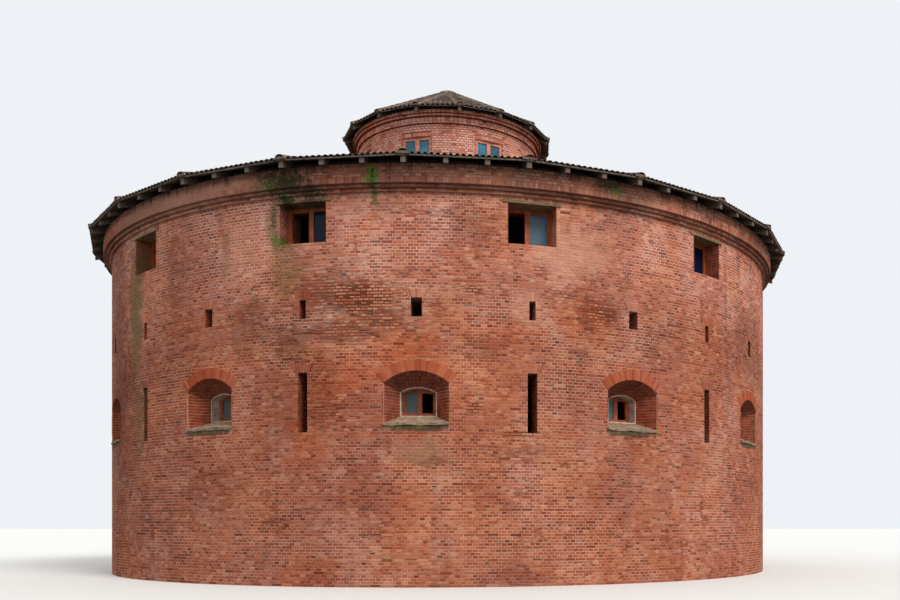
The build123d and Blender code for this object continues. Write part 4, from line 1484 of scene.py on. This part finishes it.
class TOWER_OT_turret_tiles(bpy.types.Operator):
    """Lay the tiles and the hips of the turret's roof"""

    bl_idname = "tower.turret_tiles"
    bl_label = "Lay Turret Roof Tiles"

    faces: count("Faces", 16, "Faces of the turret roof")
    hip: angle("Hip", 10, "Azimuth of one of its hips")
    slope: angle("Slope", 28.5, "Slope of its hips")
    crown: length("Crown", 0.3, "Distance from the axis where the tiles end")
    columns: count("Columns", 9, "Columns of tiles on one face at the eaves")
    hip_width: length("Hip tile width", 0.19, "Width of a hip tile")

    def execute(self, context):
        node = "turret_roof_tiles"
        tiler = Tiler(HippedRoof(node, self.faces, self.hip, self.slope, self.crown), TURRET_TILES)
        for face in range(self.faces):
            tiler.face(face, self.columns)
        tiler.join("turret_tiles", node)
        tiler.hips("turret", self.hip_width)
        return {"FINISHED"}


class TOWER_OT_stage(bpy.types.Operator):
    """Set the floor, the soft light and the camera"""

    bl_idname = "tower.stage"
    bl_label = "Set Stage"

    floor_size: length("Floor size", 400.0, "Side of the pale floor")
    backdrop: number("Backdrop", 0.92, "Strength of the seen sky")

    # The light of the sky and of the sun
    SKY, SUN = (0.93, 0.96, 1.0), (1.0, 0.97, 0.93)

    def execute(self, context):
        scene = context.scene
        self.make_floor(scene)
        self.make_light(scene)
        self.make_camera(scene)
        scene.view_settings.view_transform = "Standard"
        return {"FINISHED"}

    def make_floor(self, scene):
        """A plain pale floor at ground level, which sends little light back up."""
        shape = bmesh.new()
        bmesh.ops.create_grid(shape, x_segments=1, y_segments=1, size=self.floor_size / 2)
        mesh = mesh_of("floor", shape)
        c = scene.tower_colours
        f = Finish("matt_studio_floor", roughness=0.9)
        seen = f.add("LightPath", output="Is Camera Ray")
        shown = f.add("Mix", seen, c.floor_bounce, c.floor, **BLEND)
        mesh.materials.append(f.painted(shown))
        new_object("floor", mesh)

    def make_light(self, scene):
        """A pale sky all round and one broad soft sun."""
        stage = scene.tower_stage
        world = bpy.data.worlds.new("studio_sky")
        world.use_nodes = True
        tree = world.node_tree
        background = tree.nodes["Background"]
        background.inputs["Color"].default_value = opaque(self.SKY)
        path = add_node(tree, "LightPath").node.outputs
        shown = add_node(tree, "Math", path["Is Camera Ray"], path["Is Glossy Ray"], **MOST)
        ends = (0, 1, stage.sky_strength, self.backdrop)
        strength = add_node(tree, "MapRange", shown, *ends, **SMOOTH)
        tree.links.new(strength, background.inputs["Strength"])
        scene.world = world
        sun = bpy.data.lights.new("soft_sun", "SUN")
        sun.energy = stage.sun_strength
        sun.angle = stage.sun_size
        sun.color = self.SUN
        lamp = new_object("soft_sun", sun)
        lamp.rotation_euler = (math.pi / 2 - stage.sun_height, 0, stage.sun_azimuth)

    def make_camera(self, scene):
        """The camera of the photograph: level, with the lens shifted up."""
        stage = scene.tower_stage
        lens = bpy.data.cameras.new("camera")
        lens.lens = stage.focal
        lens.shift_x = stage.shift_x
        lens.shift_y = stage.shift_y
        lens.clip_end = 2 * self.floor_size
        camera = new_object("camera", lens)
        camera.location = spot(stage.azimuth, stage.distance, 0, stage.eye)
        camera.rotation_euler = (math.pi / 2, 0, stage.azimuth - stage.yaw)
        scene.camera = camera


class TOWER_PT_panel(bpy.types.Panel):
    """The tower's tools in the sidebar"""

    bl_label = "Round Brick Tower"
    bl_idname = "TOWER_PT_panel"
    bl_space_type = "VIEW_3D"
    bl_region_type = "UI"
    bl_category = "Tower"

    def draw(self, context):
        for operator in OPERATORS:
            self.layout.operator(operator.bl_idname)


GROUPS = {
    "tower_walls": TowerWalls,
    "tower_bricks": TowerBricks,
    "tower_openings": TowerOpenings,
    "tower_tiles": TowerTiles,
    "tower_colours": TowerColours,
    "tower_stage": TowerStage,
}
OPERATORS = [
    TOWER_OT_stage,
    TOWER_OT_frame_finishes,
    TOWER_OT_embrasure_sills,
    TOWER_OT_main_bricks,
    TOWER_OT_cornice_bricks,
    TOWER_OT_turret_bricks,
    TOWER_OT_main_tiles,
    TOWER_OT_turret_tiles,
]


def register():
    for cls in (*GROUPS.values(), *OPERATORS, TOWER_PT_panel):
        bpy.utils.register_class(cls)
    for name, group in GROUPS.items():
        setattr(bpy.types.Scene, name, PointerProperty(type=group))


def unregister():
    for name in GROUPS:
        delattr(bpy.types.Scene, name)
    for cls in (TOWER_PT_panel, *reversed(OPERATORS), *reversed(GROUPS.values())):
        bpy.utils.unregister_class(cls)


def run(operator):
    """Calls an operator by its class, through bpy.ops."""
    family, name = operator.bl_idname.split(".")
    getattr(getattr(bpy.ops, family), name)()


def main():
    register()
    for operator in OPERATORS:
        run(operator)


if __name__ == "__main__":
    main()
